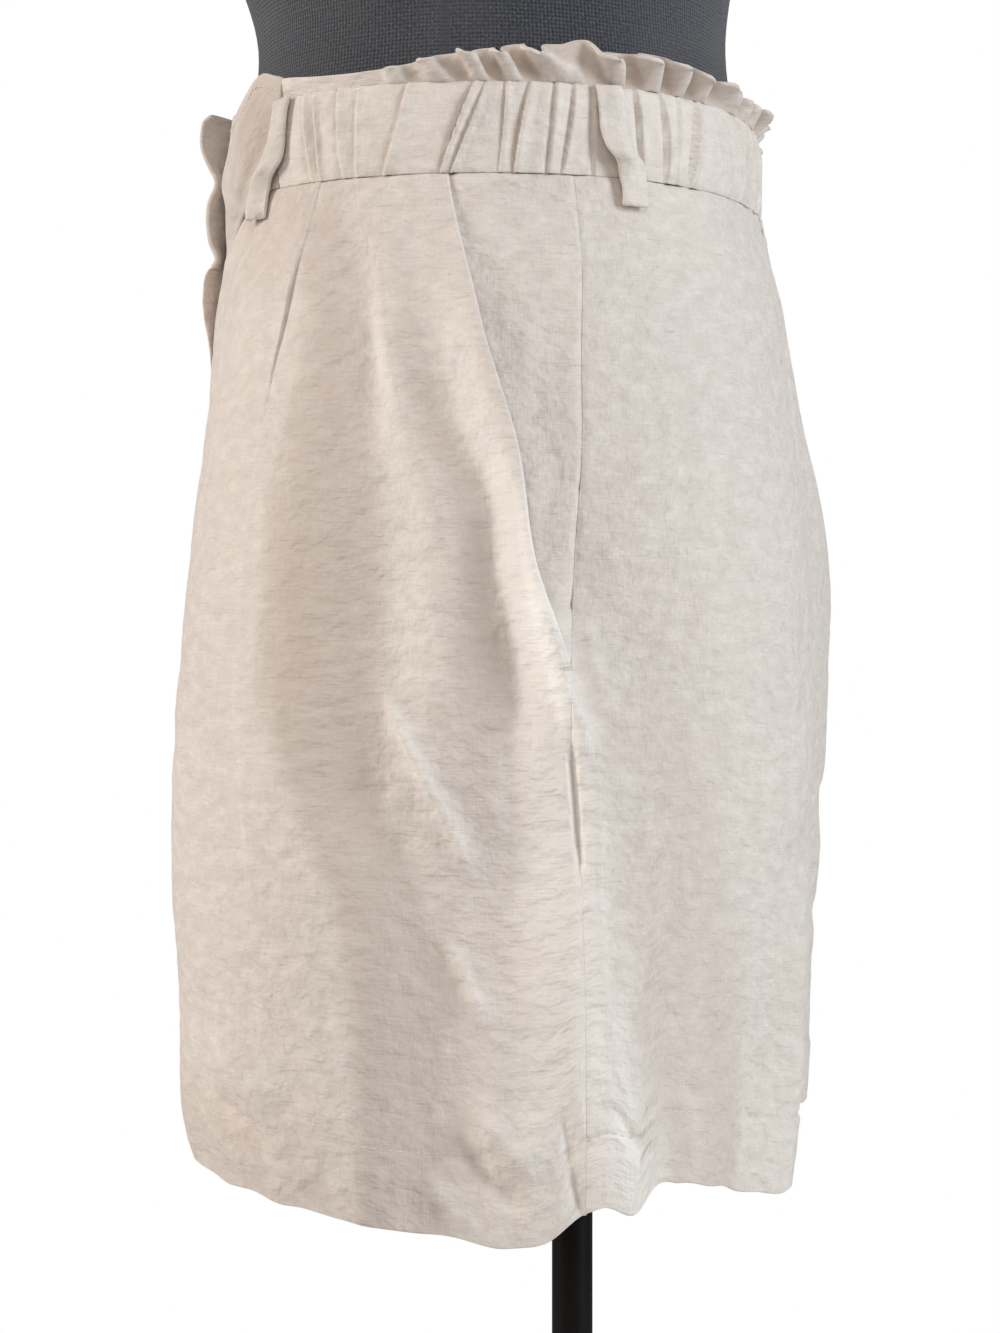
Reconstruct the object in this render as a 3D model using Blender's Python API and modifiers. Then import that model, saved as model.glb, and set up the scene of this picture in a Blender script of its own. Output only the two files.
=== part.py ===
"""Linen paperbag shorts on a limbless dress form and its stand.

Metres, +Z up. The origin is on the floor under the pole. The shorts face -Y, the wearer's left is +X.
Each half of the shorts is one sheet: at a height, a curve runs from the centre front round the outer side
to the centre back, and below the fork it goes on round the inner leg. Panels are stretches of that curve.
"""

import math

import bmesh
import bpy
import numpy as np

# ---------------------------------------------------------------- driving sizes

WAIST_SEAM = 1.022  # height of the seam between the waistband and the panels, at the side
CASING_HEIGHT = 0.037
HEADER_HEIGHT = 0.014
HEM = 0.614  # height of the hem edge at the side
HEM_DEPTH = 0.030
CROTCH = 0.745
FRONT_FORK = 0.810  # where the centre front seam starts to run in between the legs
BACK_FORK = 0.860
POCKET_BOTTOM = 0.823
FLY_BOTTOM = 0.870

CLOTH = 0.0012  # one layer of linen
BAND = 0.0024  # waistband, with its elastic or interfacing
GAP = 0.0003  # between two pieces at a seam
LAYER_GAP = 0.0005  # between two pieces that lie on each other

FACING_OUT = -0.0022  # the pocket facing lies behind the front panel
CROTCH_SHIFT = -0.026  # the crotch seam passes beside the pole, which comes down in the left leg
CENTRE_FRONT_DIP = 0.019
POLE_RADIUS = 0.009

FLAT_BAND_END = 0.290  # where the flat front band meets the gathered casing
SIDE_LOOP = 0.676
FRONT_LOOP = 0.295
SEAM_SHARE = 0.0016  # the gap between the flat band and the casing, as a share
CROWD = 0.012  # the inner columns of a panel lie within this stretch where there is no inner leg
RING_SPAN = 0.42  # metres of cloth from centre front to centre back, for widths given in metres

# Rings: the height of a section, the y of its front and back, and how far its outer side is from x = 0.
RING_COLUMNS = ("height", "front", "back", "outer")
RINGS = {
    "left": (
        (1.090, -0.148, 0.076, 0.130),
        (1.060, -0.1505, 0.080, 0.133),
        (1.024, -0.1517, 0.0825, 0.137),
        (0.985, -0.1560, 0.0913, 0.150),
        (0.945, -0.1580, 0.0955, 0.164),
        (0.905, -0.1600, 0.1010, 0.175),
        (0.860, -0.1615, 0.1060, 0.184),
        (0.810, -0.1625, 0.1080, 0.190),
        (0.745, -0.1560, 0.1065, 0.195),
        (0.680, -0.1480, 0.1015, 0.199),
        (0.600, -0.1477, 0.0990, 0.203),
    ),
    "right": (
        (1.090, -0.148, 0.076, 0.130),
        (1.060, -0.1505, 0.080, 0.133),
        (1.024, -0.1517, 0.0825, 0.137),
        (0.985, -0.1560, 0.0918, 0.150),
        (0.945, -0.1580, 0.0985, 0.164),
        (0.905, -0.1600, 0.1070, 0.175),
        (0.860, -0.1615, 0.1120, 0.184),
        (0.810, -0.1625, 0.1105, 0.190),
        (0.745, -0.1570, 0.1068, 0.196),
        (0.680, -0.1500, 0.1030, 0.202),
        (0.600, -0.1490, 0.1015, 0.207),
    ),
}
# Below the crotch, how far the inner leg is from x = 0, on the leg's own side.
INNER_COLUMNS = ("height", "left", "right")
INNER = (
    (0.745, -0.0260, 0.0260),
    (0.700, -0.0225, 0.0290),
    (0.650, -0.0195, 0.0330),
    (0.600, -0.0175, 0.0370),
)
# The centre back seam lies in a shallow valley between the two sides of the seat.
SEAM_COLUMNS = ("height", "back")
BACK_SEAM = (
    (1.090, 0.076),
    (1.060, 0.080),
    (1.024, 0.082),
    (0.985, 0.0905),
    (0.945, 0.0945),
    (0.905, 0.0985),
    (0.860, 0.1020),
    (0.745, 0.1000),
)
# The side seam and the pocket mouth, as shares of the way from centre front to centre back.
LINE_COLUMNS = ("height", "side_seam", "mouth")
LINES = (
    (1.060, 0.638, 0.494),
    (1.022, 0.638, 0.500),
    (0.965, 0.635, 0.532),
    (0.910, 0.630, 0.568),
    (0.868, 0.618, 0.580),
    (0.823, 0.612, 0.612),
    (0.745, 0.621, 0.621),
    (0.600, 0.636, 0.636),
)
# How far the hem edge is from level, as shares of the way round the outer side of the leg.
HEM_COLUMNS = ("share", "left", "right")
HEM_EDGE = (
    (0.000, 0.016, 0.014),
    (0.200, 0.0155, 0.013),
    (0.320, 0.0105, 0.009),
    (0.420, 0.006, 0.004),
    (0.500, 0.0012, 0.002),
    (0.565, -0.0018, 0.003),
    (0.630, 0.0095, 0.008),
    (0.705, 0.0225, 0.015),
    (0.790, 0.0145, 0.012),
    (0.870, 0.0075, 0.006),
    (1.000, 0.005, 0.004),
)
# The largest folds: where each starts and ends, its width and how far it stands out (or in).
FOLD_COLUMNS = ("sides", "share_top", "share_foot", "top", "foot", "width", "depth")
FOLDS = (
    ("both", 0.354, 0.298, 1.035, 0.870, 0.010, 0.0030),  # folded edge of the pleat
    ("both", 0.376, 0.326, 1.035, 0.850, 0.014, -0.0035),  # hollow beside the pleat
    ("both", 0.190, 0.150, 0.960, 0.520, 0.040, 0.0060),  # full front of the leg
    ("left", 0.305, 0.465, 0.940, 0.580, 0.028, -0.0085),  # long trough under the pleat
    ("right", 0.310, 0.440, 0.930, 0.600, 0.030, -0.0080),
    ("both", 0.460, 0.420, 0.930, 0.740, 0.030, 0.0050),  # full cloth behind the trough
    ("left", 0.515, 0.535, 0.740, 0.540, 0.022, 0.0060),
    ("right", 0.530, 0.515, 0.760, 0.540, 0.026, 0.0050),
    ("both", 0.480, 0.575, 1.010, 0.820, 0.020, 0.0045),  # bulge along the pocket mouth
    ("both", 0.705, 0.715, 0.720, 0.500, 0.028, -0.0060),  # lift at the back of the hem
    ("both", 0.810, 0.810, 0.780, 0.500, 0.034, 0.0050),
    ("left", 0.910, 0.930, 0.700, 0.500, 0.026, -0.0050),
    ("right", 0.890, 0.910, 0.720, 0.500, 0.030, -0.0060),
)
# The top of the flat front band, from the centre front to the front loop.
TOP_COLUMNS = ("share", "top")
BAND_TOPS = (
    (0.000, 1.083),
    (0.120, 1.080),
    (0.190, 1.082),
    (0.250, 1.079),
    (0.305, 1.066),
)
# How far the free edge of the overlap stands out: it is held in at the hooks and flares between them.
EDGE_COLUMNS = ("height", "stand_off")
FREE_EDGE = (
    (1.082, 0.0155),
    (1.077, 0.0148),
    (1.068, 0.0125),
    (1.057, 0.0085),
    (1.049, 0.0108),
    (1.036, 0.0108),
    (1.026, 0.0087),
    (1.016, 0.0102),
    (1.004, 0.0104),
    (0.992, 0.0078),
    (0.980, 0.0042),
    (0.965, 0.0028),
    (0.860, 0.0026),
)

# Dress form: half width, front and back of each section.
FORM_COLUMNS = ("height", "half_width", "front", "back")
FORM = (
    (0.790, 0.120, -0.092, 0.042),
    (0.794, 0.150, -0.120, 0.066),
    (0.806, 0.163, -0.132, 0.077),
    (0.840, 0.171, -0.141, 0.086),
    (0.880, 0.170, -0.144, 0.088),
    (0.925, 0.161, -0.143, 0.084),
    (0.970, 0.146, -0.141, 0.078),
    (1.015, 0.1336, -0.1441, 0.0777),
    (1.035, 0.1321, -0.1431, 0.0767),
    (1.060, 0.1286, -0.1411, 0.0722),
    (1.095, 0.1260, -0.1380, 0.0675),
    (1.150, 0.136, -0.156, 0.074),
    (1.210, 0.150, -0.178, 0.081),
    (1.260, 0.160, -0.170, 0.083),
    (1.310, 0.168, -0.143, 0.081),
    (1.355, 0.165, -0.110, 0.075),
    (1.382, 0.146, -0.087, 0.066),
    (1.402, 0.104, -0.069, 0.057),
    (1.420, 0.072, -0.060, 0.051),
    (1.450, 0.058, -0.056, 0.049),
    (1.478, 0.055, -0.054, 0.049),
)
FORM_SIDES = 32

GATHER_DEPTH = 0.0011
GATHER_SPACING = 0.0145
FRILL_SPACING = 0.027
FRILL_WAVE = 0.0035
FRILL_LOW = 0.004  # the frill's height in front of the pocket

BASE_RADIUS = 0.185
BASE_THICKNESS = 0.007
NECK_CAP_THICKNESS = 0.010
LOOP_WIDTH = 0.012
HOOK_SIZE = (0.012, 0.0018, 0.008)
LOOP_TOP = 1.059

MATERIALS = {
    "linen": ((0.66, 0.58, 0.50, 1), 0.9, 0.0),
    "hook_metal": ((0.70, 0.68, 0.66, 1), 0.3, 1.0),
    "form_cover": ((0.07, 0.07, 0.08, 1), 0.85, 0.0),
    "neck_wood": ((0.03, 0.03, 0.03, 1), 0.5, 0.0),
    "stand_steel": ((0.012, 0.011, 0.011, 1), 0.4, 0.6),
}


# ---------------------------------------------------------------- small tools


def clear_scene():
    for obj in list(bpy.data.objects):
        bpy.data.objects.remove(obj)


def material(name):
    found = bpy.data.materials.get(name)
    if found:
        return found
    colour, roughness, metallic = MATERIALS[name]
    made = bpy.data.materials.new(name)
    made.use_nodes = True
    shader = made.node_tree.nodes["Principled BSDF"]
    shader.inputs["Base Color"].default_value = colour
    shader.inputs["Roughness"].default_value = roughness
    shader.inputs["Metallic"].default_value = metallic
    return made


def ease(share):
    """0 to 1 with a level start and end."""
    share = np.clip(share, 0.0, 1.0)
    return share * share * (3 - 2 * share)


def column(table, columns, name, at, key="height"):
    """One column of a table at the places `at`, by a cubic through its rows."""
    rows = np.array(
        sorted((row[columns.index(key)], row[columns.index(name)]) for row in table)
    )
    places, values = rows[:, 0], rows[:, 1]
    slopes = np.gradient(values, places)
    at = np.clip(at, places[0], places[-1])
    i = np.clip(np.searchsorted(places, at) - 1, 0, len(places) - 2)
    step = places[i + 1] - places[i]
    u = (at - places[i]) / step
    return (
        values[i] * (1 + 2 * u) * (1 - u) ** 2
        + slopes[i] * step * u * (1 - u) ** 2
        + values[i + 1] * u * u * (3 - 2 * u)
        + slopes[i + 1] * step * u * u * (u - 1)
    )


# ---------------------------------------------------------------- the form of the cloth


def sign_of(side):
    return 1.0 if side == "left" else -1.0


def inner_side(side, height):
    """How far the inner edge of a half is from x = 0, on its own side."""
    middle = sign_of(side) * CROTCH_SHIFT * ease((0.90 - height) / (0.90 - CROTCH))
    leg = column(INNER, INNER_COLUMNS, side, height)
    return np.where(height > CROTCH, middle, leg) + GAP / 2


def run_in(height, fork):
    """1 above the fork, falling to 0 at the crotch as a rounded quarter."""
    share = np.clip((fork - height) / (fork - CROTCH), 0.0, 1.0)
    return (1 - share**2.5) ** 0.4


def ring(side, share, height):
    """(x on the own side, y) of the cloth. share is 0 to 1 from the front of the ring round its outer side
    to its back, and runs on to -1 and 2 round the inner side, where the two meet at the seam."""
    share, height = np.broadcast_arrays(
        np.asarray(share, float), np.asarray(height, float)
    )
    front, back, outer = (
        column(RINGS[side], RING_COLUMNS, name, height)
        for name in ("front", "back", "outer")
    )
    inner = inner_side(side, height)
    middle = (inner + outer) / 2
    front_top = inner + (middle - inner) * ease((0.83 - height) / 0.14)
    back_top = inner + (middle - inner) * ease((0.98 - height) / 0.17)
    centre_y, half_y = (front + back) / 2, (back - front) / 2

    # Outer half: a half ellipse, made a little fuller at its quarters.
    angle = math.pi * np.clip(share, 0, 1)
    fuller = 1 + 0.022 * np.sin(2 * angle) ** 2
    top = np.where(share < 0.5, front_top, back_top)
    x = top + (outer - top) * np.sin(angle) * fuller
    y = centre_y - half_y * np.cos(angle) * fuller

    # Inner quarters: from the front (or back) of the ring to its seam.
    seam_back = column(BACK_SEAM, SEAM_COLUMNS, "back", height)
    for inside, part, top_x, edge, seam_top, fork in (
        (share < 0, -share, front_top, front, front, FRONT_FORK),
        (share > 1, share - 1, back_top, back, seam_back, BACK_FORK),
    ):
        turn = np.clip(part, 0, 1) * math.pi / 2
        seam = centre_y + (seam_top - centre_y) * run_in(height, fork)
        across, along = np.sin(turn) ** 0.9, np.clip(np.cos(turn), 0, 1) ** 0.9
        x = np.where(inside, top_x - (top_x - inner) * across, x)
        y = np.where(inside, seam + (edge - seam) * along, y)
    return x, y


def folds(side, share, height):
    """How far the folds move the cloth out of its smooth ring."""
    out = np.zeros_like(share)
    for row in FOLDS:
        fold = dict(zip(FOLD_COLUMNS, row))
        if fold["sides"] not in ("both", side):
            continue
        way = (fold["top"] - height) / (fold["top"] - fold["foot"])
        centre = fold["share_top"] + (fold["share_foot"] - fold["share_top"]) * way
        off = (share - centre) * RING_SPAN / fold["width"]
        strength = ease(way / 0.3) * (1 - ease((way - 0.7) / 0.3))
        out = out + fold["depth"] * strength * np.exp(-off * off)
    return out


def cloth(side, share, height, out=0.0):
    """Points of the cloth's outer face, moved out by `out`. The last axis is x, y, z."""
    share, height = np.broadcast_arrays(
        np.asarray(share, float), np.asarray(height, float)
    )
    step = 1e-4
    x, y = ring(side, share, height)
    ahead, behind = ring(side, share + step, height), ring(side, share - step, height)
    along_x, along_y = ahead[0] - behind[0], ahead[1] - behind[1]
    length = np.maximum(np.hypot(along_x, along_y), 1e-9)
    move = folds(side, share, height) + out
    x = x + along_y / length * move
    y = y - along_x / length * move
    shape = np.clip(share, 0, 1)
    dip = -CENTRE_FRONT_DIP * ease((0.29 - shape) / 0.15) * ease((height - 0.86) / 0.15)
    uneven = column(HEM_EDGE, HEM_COLUMNS, side, shape, key="share")
    inner_share = np.where(share < 0, -share, np.where(share > 1, share - 1, 0))
    level = column(HEM_EDGE, HEM_COLUMNS, side, np.full_like(shape, 0.0), key="share")
    uneven = uneven + (level - uneven) * ease(inner_share)
    foot = uneven * np.clip((WAIST_SEAM - height) / (WAIST_SEAM - HEM), 0, 1) ** 3
    return np.stack([sign_of(side) * x, y, height + dip + foot], axis=-1)


def run_along(side, height, start, end):
    """Shares from start to end at one height, and how far along the cloth each is from the first."""
    fine = np.linspace(start, end, 600)
    points = np.stack(ring(side, fine, np.full_like(fine, height)), axis=-1)
    steps = np.linalg.norm(np.diff(points, axis=0), axis=1)
    run = np.concatenate([[0], np.cumsum(steps)])
    keep = np.concatenate([[True], steps > 1e-9])
    return fine[keep], run[keep]


def even_shares(side, height, start, end, count):
    """Shares evenly spaced along the cloth, half a gap in from each end."""
    fine, run = run_along(side, height, start, end)
    return np.interp(np.linspace(GAP / 2, run[-1] - GAP / 2, count), run, fine)


def panel_shares(side, height, start, end, inner_count, outer_count):
    """Shares of a panel's columns: the outer ones keep their places all the way down, and the inner ones
    spread out from the centre seam over the inner leg as it widens. start is the inner seam."""
    fine, run = run_along(side, height, start, end)
    bend = float(np.interp(0.0 if start < 0 else -1.0, fine * np.sign(0.5 - start), run))
    turn = bend + CROWD
    inner = np.linspace(GAP / 2, turn, inner_count + 1)[:-1]
    outer = np.linspace(turn, run[-1] - GAP / 2, outer_count)
    return np.interp(np.concatenate([inner, outer]), run, fine)


# ---------------------------------------------------------------- pieces from grids


def add_grid(name, rows, thickness, side, closed=False, material_name="linen"):
    """A cloth piece: rows of points, thickened inwards. Rows run down, each from front to back."""
    points = np.asarray(rows, float)
    count_down, count_across = points.shape[:2]
    wide = count_across if closed else count_across - 1
    faces = []
    for i in range(count_down - 1):
        for j in range(wide):
            k = (j + 1) % count_across
            quad = [
                i * count_across + j,
                (i + 1) * count_across + j,
                (i + 1) * count_across + k,
                i * count_across + k,
            ]
            faces.append(quad if side == "left" else quad[::-1])
    mesh = bpy.data.meshes.new(name)
    mesh.from_pydata(points.reshape(-1, 3).tolist(), [], faces)
    mesh.materials.append(material(material_name))
    obj = bpy.data.objects.new(name, mesh)
    bpy.data.collections["linen_shorts"].objects.link(obj)
    wall = obj.modifiers.new("wall", "SOLIDIFY")
    wall.thickness = thickness
    wall.offset = -1
    wall.use_even_offset = True
    return obj


def panel_heights():
    """Rows of a panel, from the waist seam to the hem, closer together towards the crotch."""
    upper = np.linspace(WAIST_SEAM - GAP, BACK_FORK, 7)
    turn = np.radians(np.linspace(14, 90, 7))
    fork = CROTCH + (BACK_FORK - CROTCH) * (1 - np.sin(turn))
    leg = [CROTCH - 0.014, (CROTCH + HEM) / 2, HEM + HEM_DEPTH, HEM + HEM_DEPTH / 2, HEM]
    return np.concatenate([upper, fork, leg])


def front_row(side, height):
    """Columns of a front panel, from the inner seam to the pocket mouth or the side seam."""
    line = "mouth" if height > POCKET_BOTTOM else "side_seam"
    edge = float(column(LINES, LINE_COLUMNS, line, height))
    return panel_shares(side, height, -1.0, edge, 4, 12)


def back_row(side, height):
    """Columns of a back panel, from the side seam to the inner seam."""
    edge = float(column(LINES, LINE_COLUMNS, "side_seam", height))
    return panel_shares(side, height, 2.0, edge, 5, 8)[::-1]


def add_panels(side):
    for part, row in (("front", front_row), ("back", back_row)):
        grid = [cloth(side, row(side, h), h) for h in panel_heights()]
        add_grid(f"{side}_{part}", grid, CLOTH, side)


def add_pocket_facing(side):
    """The panel behind the slanted mouth: its first columns are the front panel's last, moved in, and it
    goes on to the side seam."""
    grid = []
    heights = [h for h in panel_heights() if h > POCKET_BOTTOM]
    for height in heights:
        front = front_row(side, height)
        seam = float(column(LINES, LINE_COLUMNS, "side_seam", height))
        visible = even_shares(side, height, front[-1], seam, 5)[1:]
        grid.append(cloth(side, np.concatenate([front[-3:], visible]), height, FACING_OUT))
    add_grid(f"{side}_pocket_facing", grid, CLOTH, side)


def add_hem(side):
    """The turned-up hem: a band inside the foot of the leg, on the points of the panels."""
    grid = []
    for height in panel_heights()[-3:]:
        shares = np.concatenate([front_row(side, height), back_row(side, height)])
        grid.append(cloth(side, shares, height, -(CLOTH + LAYER_GAP)))
    add_grid(f"{side}_hem", grid, CLOTH, side, closed=True)


# ---------------------------------------------------------------- waistband


def gather(share, height):
    """Ripples of the elasticated casing."""
    fade = ease((share - FLAT_BAND_END) / 0.02)
    return GATHER_DEPTH * fade * np.sin(2 * math.pi * share * RING_SPAN / GATHER_SPACING)


def round_the_back(shares):
    """Pairs of side and share from the left front loop round the back to the right front loop."""
    left = [("left", q) for q in shares]
    right = [("right", q) for q in shares[::-1]]
    return left + right[1:]


def add_waistband_back():
    shares = np.linspace(FLAT_BAND_END + SEAM_SHARE, 1.0, 84)
    grid = []
    for height in (WAIST_SEAM + CASING_HEIGHT, WAIST_SEAM + GAP):
        row = []
        for side, share in round_the_back(shares):
            row.append(cloth(side, share, height, gather(share, height)))
        grid.append(row)
    add_grid("waistband_back", grid, BAND, "left")


def frill_height(share):
    """The frill is only a low ridge in front of the pocket, and stands up behind it."""
    return FRILL_LOW + (HEADER_HEIGHT - FRILL_LOW) * ease((share - 0.44) / 0.08)


def add_header_frill():
    shares = np.linspace(FLAT_BAND_END + 0.012, 1.0, 60)
    foot = WAIST_SEAM + CASING_HEIGHT + GAP
    grid = []
    for up in (0.0, 0.5, 1.0):
        row = []
        for side, share in round_the_back(shares):
            phase = 2 * math.pi * share * RING_SPAN / FRILL_SPACING
            wave = FRILL_WAVE * up * math.sin(phase) + 0.002 * up
            height = foot + up * frill_height(share)
            row.append(cloth(side, share, height, wave))
        grid.append(row)
    add_grid("header_frill", grid[::-1], CLOTH, "left")


def lapped(position, height, out):
    """A point of the front by its place across it: negative on the right side, positive on the left."""
    if position < 0:
        return cloth("right", -position, height, out)
    return cloth("left", position, height, out)


OVERLAP_END = 0.045  # the overlap's free edge, as a share past the centre front
HOOK_SPACE = 0.0026  # between the two bands, where the hooks lie
FLY_START = 0.045  # where the fly strip starts on the right side, as a share from the centre front
FLY_TAPER = 0.030  # how much narrower it is at its foot
FLY_RISE = CLOTH + 0.0014


def flare(height, place, rise):
    """How much further than `rise` the overlap stands out at a place across the front."""
    edge = float(column(FREE_EDGE, EDGE_COLUMNS, "stand_off", height))
    return max(edge - rise, 0.0) * np.clip(place / OVERLAP_END, 0, 1) ** 1.5


def band_lap(height, place):
    """The right band climbs onto the left one just before the centre front, then flares."""
    rise = BAND + HOOK_SPACE
    return rise * ease((place + 0.014) / 0.014) + flare(height, place, rise)


def band_rows(places, count):
    """Rows of (place, height) of the flat front band, from its top edge to the waist seam."""
    tops = column(BAND_TOPS, TOP_COLUMNS, "top", np.abs(places), key="share")
    foot = WAIST_SEAM + GAP
    rows = np.linspace(1, 0, count)
    return [[(q, foot + (top - foot) * up) for q, top in zip(places, tops)] for up in rows]


def add_waistband_fronts():
    left = np.linspace(0.0012, FLAT_BAND_END, 17)
    grid = [[cloth("left", q, h) for q, h in row] for row in band_rows(left, 5)]
    add_grid("waistband_left_front", grid, BAND, "left")

    flat = np.linspace(-FLAT_BAND_END, -0.02, 8)
    lapping = np.concatenate([flat, np.linspace(-0.012, OVERLAP_END, 7)])
    grid = [[lapped(q, h, band_lap(h, q)) for q, h in row] for row in band_rows(lapping, 10)]
    add_grid("waistband_right_front", grid, BAND, "left")


def add_fly_overlap():
    """The fly strip: it lies on the panels, and its free edge goes on below the band's."""
    grid = []
    for height in np.linspace(WAIST_SEAM - GAP, FLY_BOTTOM, 11):
        narrow = FLY_TAPER * ease((0.915 - height) / 0.045)
        places = np.linspace(narrow - FLY_START, OVERLAP_END, 7)
        grid.append([lapped(q, height, FLY_RISE + flare(height, q, FLY_RISE)) for q in places])
    add_grid("fly_overlap", grid, CLOTH, "left")


# Belt loop: how far down it each row is, how far it stands out, and its shift towards the back.
LOOP_COLUMNS = ("down", "out", "front_shift", "side_shift")
LOOP = (
    (0.000, 0.0016, 0.0000, 0.0000),
    (0.012, 0.0030, -0.0005, 0.0006),
    (0.024, 0.0042, -0.0012, 0.0020),
    (0.031, 0.0050, -0.0025, 0.0038),
    (0.038, 0.0040, -0.0095, 0.0080),
    (0.044, 0.0022, -0.0135, 0.0090),
    (0.050, 0.0008, -0.0140, 0.0090),
)


def add_loop(side, place, share):
    """A strip that hangs a little loose: it is sewn at its top and foot, and kinks between them."""
    half = LOOP_WIDTH / 2 / RING_SPAN
    grid = []
    for row in LOOP:
        part = dict(zip(LOOP_COLUMNS, row))
        middle = share + part[f"{place}_shift"] / RING_SPAN
        across = np.linspace(middle - half, middle + half, 4)
        grid.append(cloth(side, across, LOOP_TOP - part["down"], part["out"] + CLOTH))
    add_grid(f"loop_{side}_{place}", grid, CLOTH, side)


def add_loops():
    for side in ("left", "right"):
        add_loop(side, "front", FRONT_LOOP)
        add_loop(side, "side", SIDE_LOOP)


# ---------------------------------------------------------------- hooks, form and stand


def add_solid(name, mesh, material_name, bevel):
    """An object from a bmesh, in the shorts' collection, with rounded edges."""
    data = bpy.data.meshes.new(name)
    mesh.to_mesh(data)
    mesh.free()
    data.materials.append(material(material_name))
    data.shade_smooth()
    data.set_sharp_from_angle(angle=math.radians(30))
    obj = bpy.data.objects.new(name, data)
    bpy.data.collections["linen_shorts"].objects.link(obj)
    if bevel:
        edge = obj.modifiers.new("edge", "BEVEL")
        edge.width = bevel
        edge.segments = 2
        edge.limit_method = "ANGLE"
    return obj


def add_box(name, size, centre, material_name, bevel=0.0):
    mesh = bmesh.new()
    bmesh.ops.create_cube(mesh, size=1.0)
    for vertex in mesh.verts:
        vertex.co = [vertex.co[k] * size[k] + centre[k] for k in range(3)]
    return add_solid(name, mesh, material_name, bevel)


def add_hooks():
    """Flat trouser hooks, fastened, between the left band and the overlap."""
    for name, height in (("hook_upper", 1.057), ("hook_lower", 1.030)):
        x, y, z = cloth("left", 0.0, height, 0.3e-3 + HOOK_SIZE[1] / 2)
        add_box(name, HOOK_SIZE, (HOOK_SIZE[0] / 2 + 0.001, y, z), "hook_metal", 0.0003)


def add_form():
    """The torso: an oval loft through the sections, closed flat below and above."""
    angles = np.linspace(0, 2 * math.pi, FORM_SIDES, endpoint=False)
    fine = np.concatenate(
        [
            np.array([0.790, 0.7925, 0.798, 0.806, 0.822]),
            np.arange(0.850, 0.99, 0.045),
            np.array([1.015, 1.035, 1.060, 1.095]),
            np.arange(1.130, 1.35, 0.032),
            np.array([1.352, 1.370, 1.385, 1.398, 1.410, 1.424, 1.445, 1.478]),
        ]
    )
    points = []
    for height in fine:
        wide, front, back = (
            float(column(FORM, FORM_COLUMNS, name, height))
            for name in ("half_width", "front", "back")
        )
        middle, half = (front + back) / 2, (back - front) / 2
        for angle in angles:
            points.append(
                (wide * math.cos(angle), middle + half * math.sin(angle), height)
            )
    faces = []
    for i in range(len(fine) - 1):
        for j in range(FORM_SIDES):
            k = (j + 1) % FORM_SIDES
            a, b = i * FORM_SIDES, (i + 1) * FORM_SIDES
            faces.append((a + j, a + k, b + k, b + j))
    last = (len(fine) - 1) * FORM_SIDES
    faces.append(tuple(range(FORM_SIDES - 1, -1, -1)))
    faces.append(tuple(range(last, last + FORM_SIDES)))
    mesh = bpy.data.meshes.new("form_body")
    mesh.from_pydata(points, [], faces)
    mesh.materials.append(material("form_cover"))
    mesh.shade_smooth()
    obj = bpy.data.objects.new("form_body", mesh)
    bpy.data.collections["linen_shorts"].objects.link(obj)


def add_disc(name, radius, low, high, centre_y, material_name, bevel, sides=48):
    mesh = bmesh.new()
    bmesh.ops.create_cone(
        mesh, cap_ends=True, segments=sides, radius1=radius, radius2=radius, depth=high - low
    )
    for vertex in mesh.verts:
        vertex.co = (vertex.co.x, vertex.co.y + centre_y, vertex.co.z + (low + high) / 2)
    return add_solid(name, mesh, material_name, bevel)


def add_stand():
    form_foot, form_top = FORM[0][0], FORM[-1][0]
    neck_y = (FORM[-1][2] + FORM[-1][3]) / 2
    add_disc("stand_base", BASE_RADIUS, 0.0, BASE_THICKNESS, 0.0, "stand_steel", 0.002)
    add_disc(
        "stand_pole",
        POLE_RADIUS,
        BASE_THICKNESS + GAP,
        form_foot - GAP,
        0.0,
        "stand_steel",
        0.0,
        24,
    )
    add_disc(
        "form_neck_cap",
        0.050,
        form_top + GAP,
        form_top + GAP + NECK_CAP_THICKNESS,
        neck_y,
        "neck_wood",
        0.003,
    )


def main():
    clear_scene()
    group = bpy.data.collections.new("linen_shorts")
    bpy.context.scene.collection.children.link(group)
    for side in ("left", "right"):
        add_panels(side)
        add_pocket_facing(side)
        add_hem(side)
    add_waistband_back()
    add_header_frill()
    add_waistband_fronts()
    add_fly_overlap()
    add_loops()
    add_hooks()
    add_form()
    add_stand()


main()
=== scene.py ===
"""Looks of the linen paperbag shorts, their dress form and its stand.

Metres, +Z up; lengths in the tables are in millimetres. The shorts face -Y and the wearer's left is +X.
Every cloth piece is a sheet worked out from one curve: at a height, it runs from the centre front (share 0)
round the outer side to the centre back (share 1), and below the fork it goes on round the inner leg (share
-1 and 2, where the two meet).
"""

import math

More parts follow.
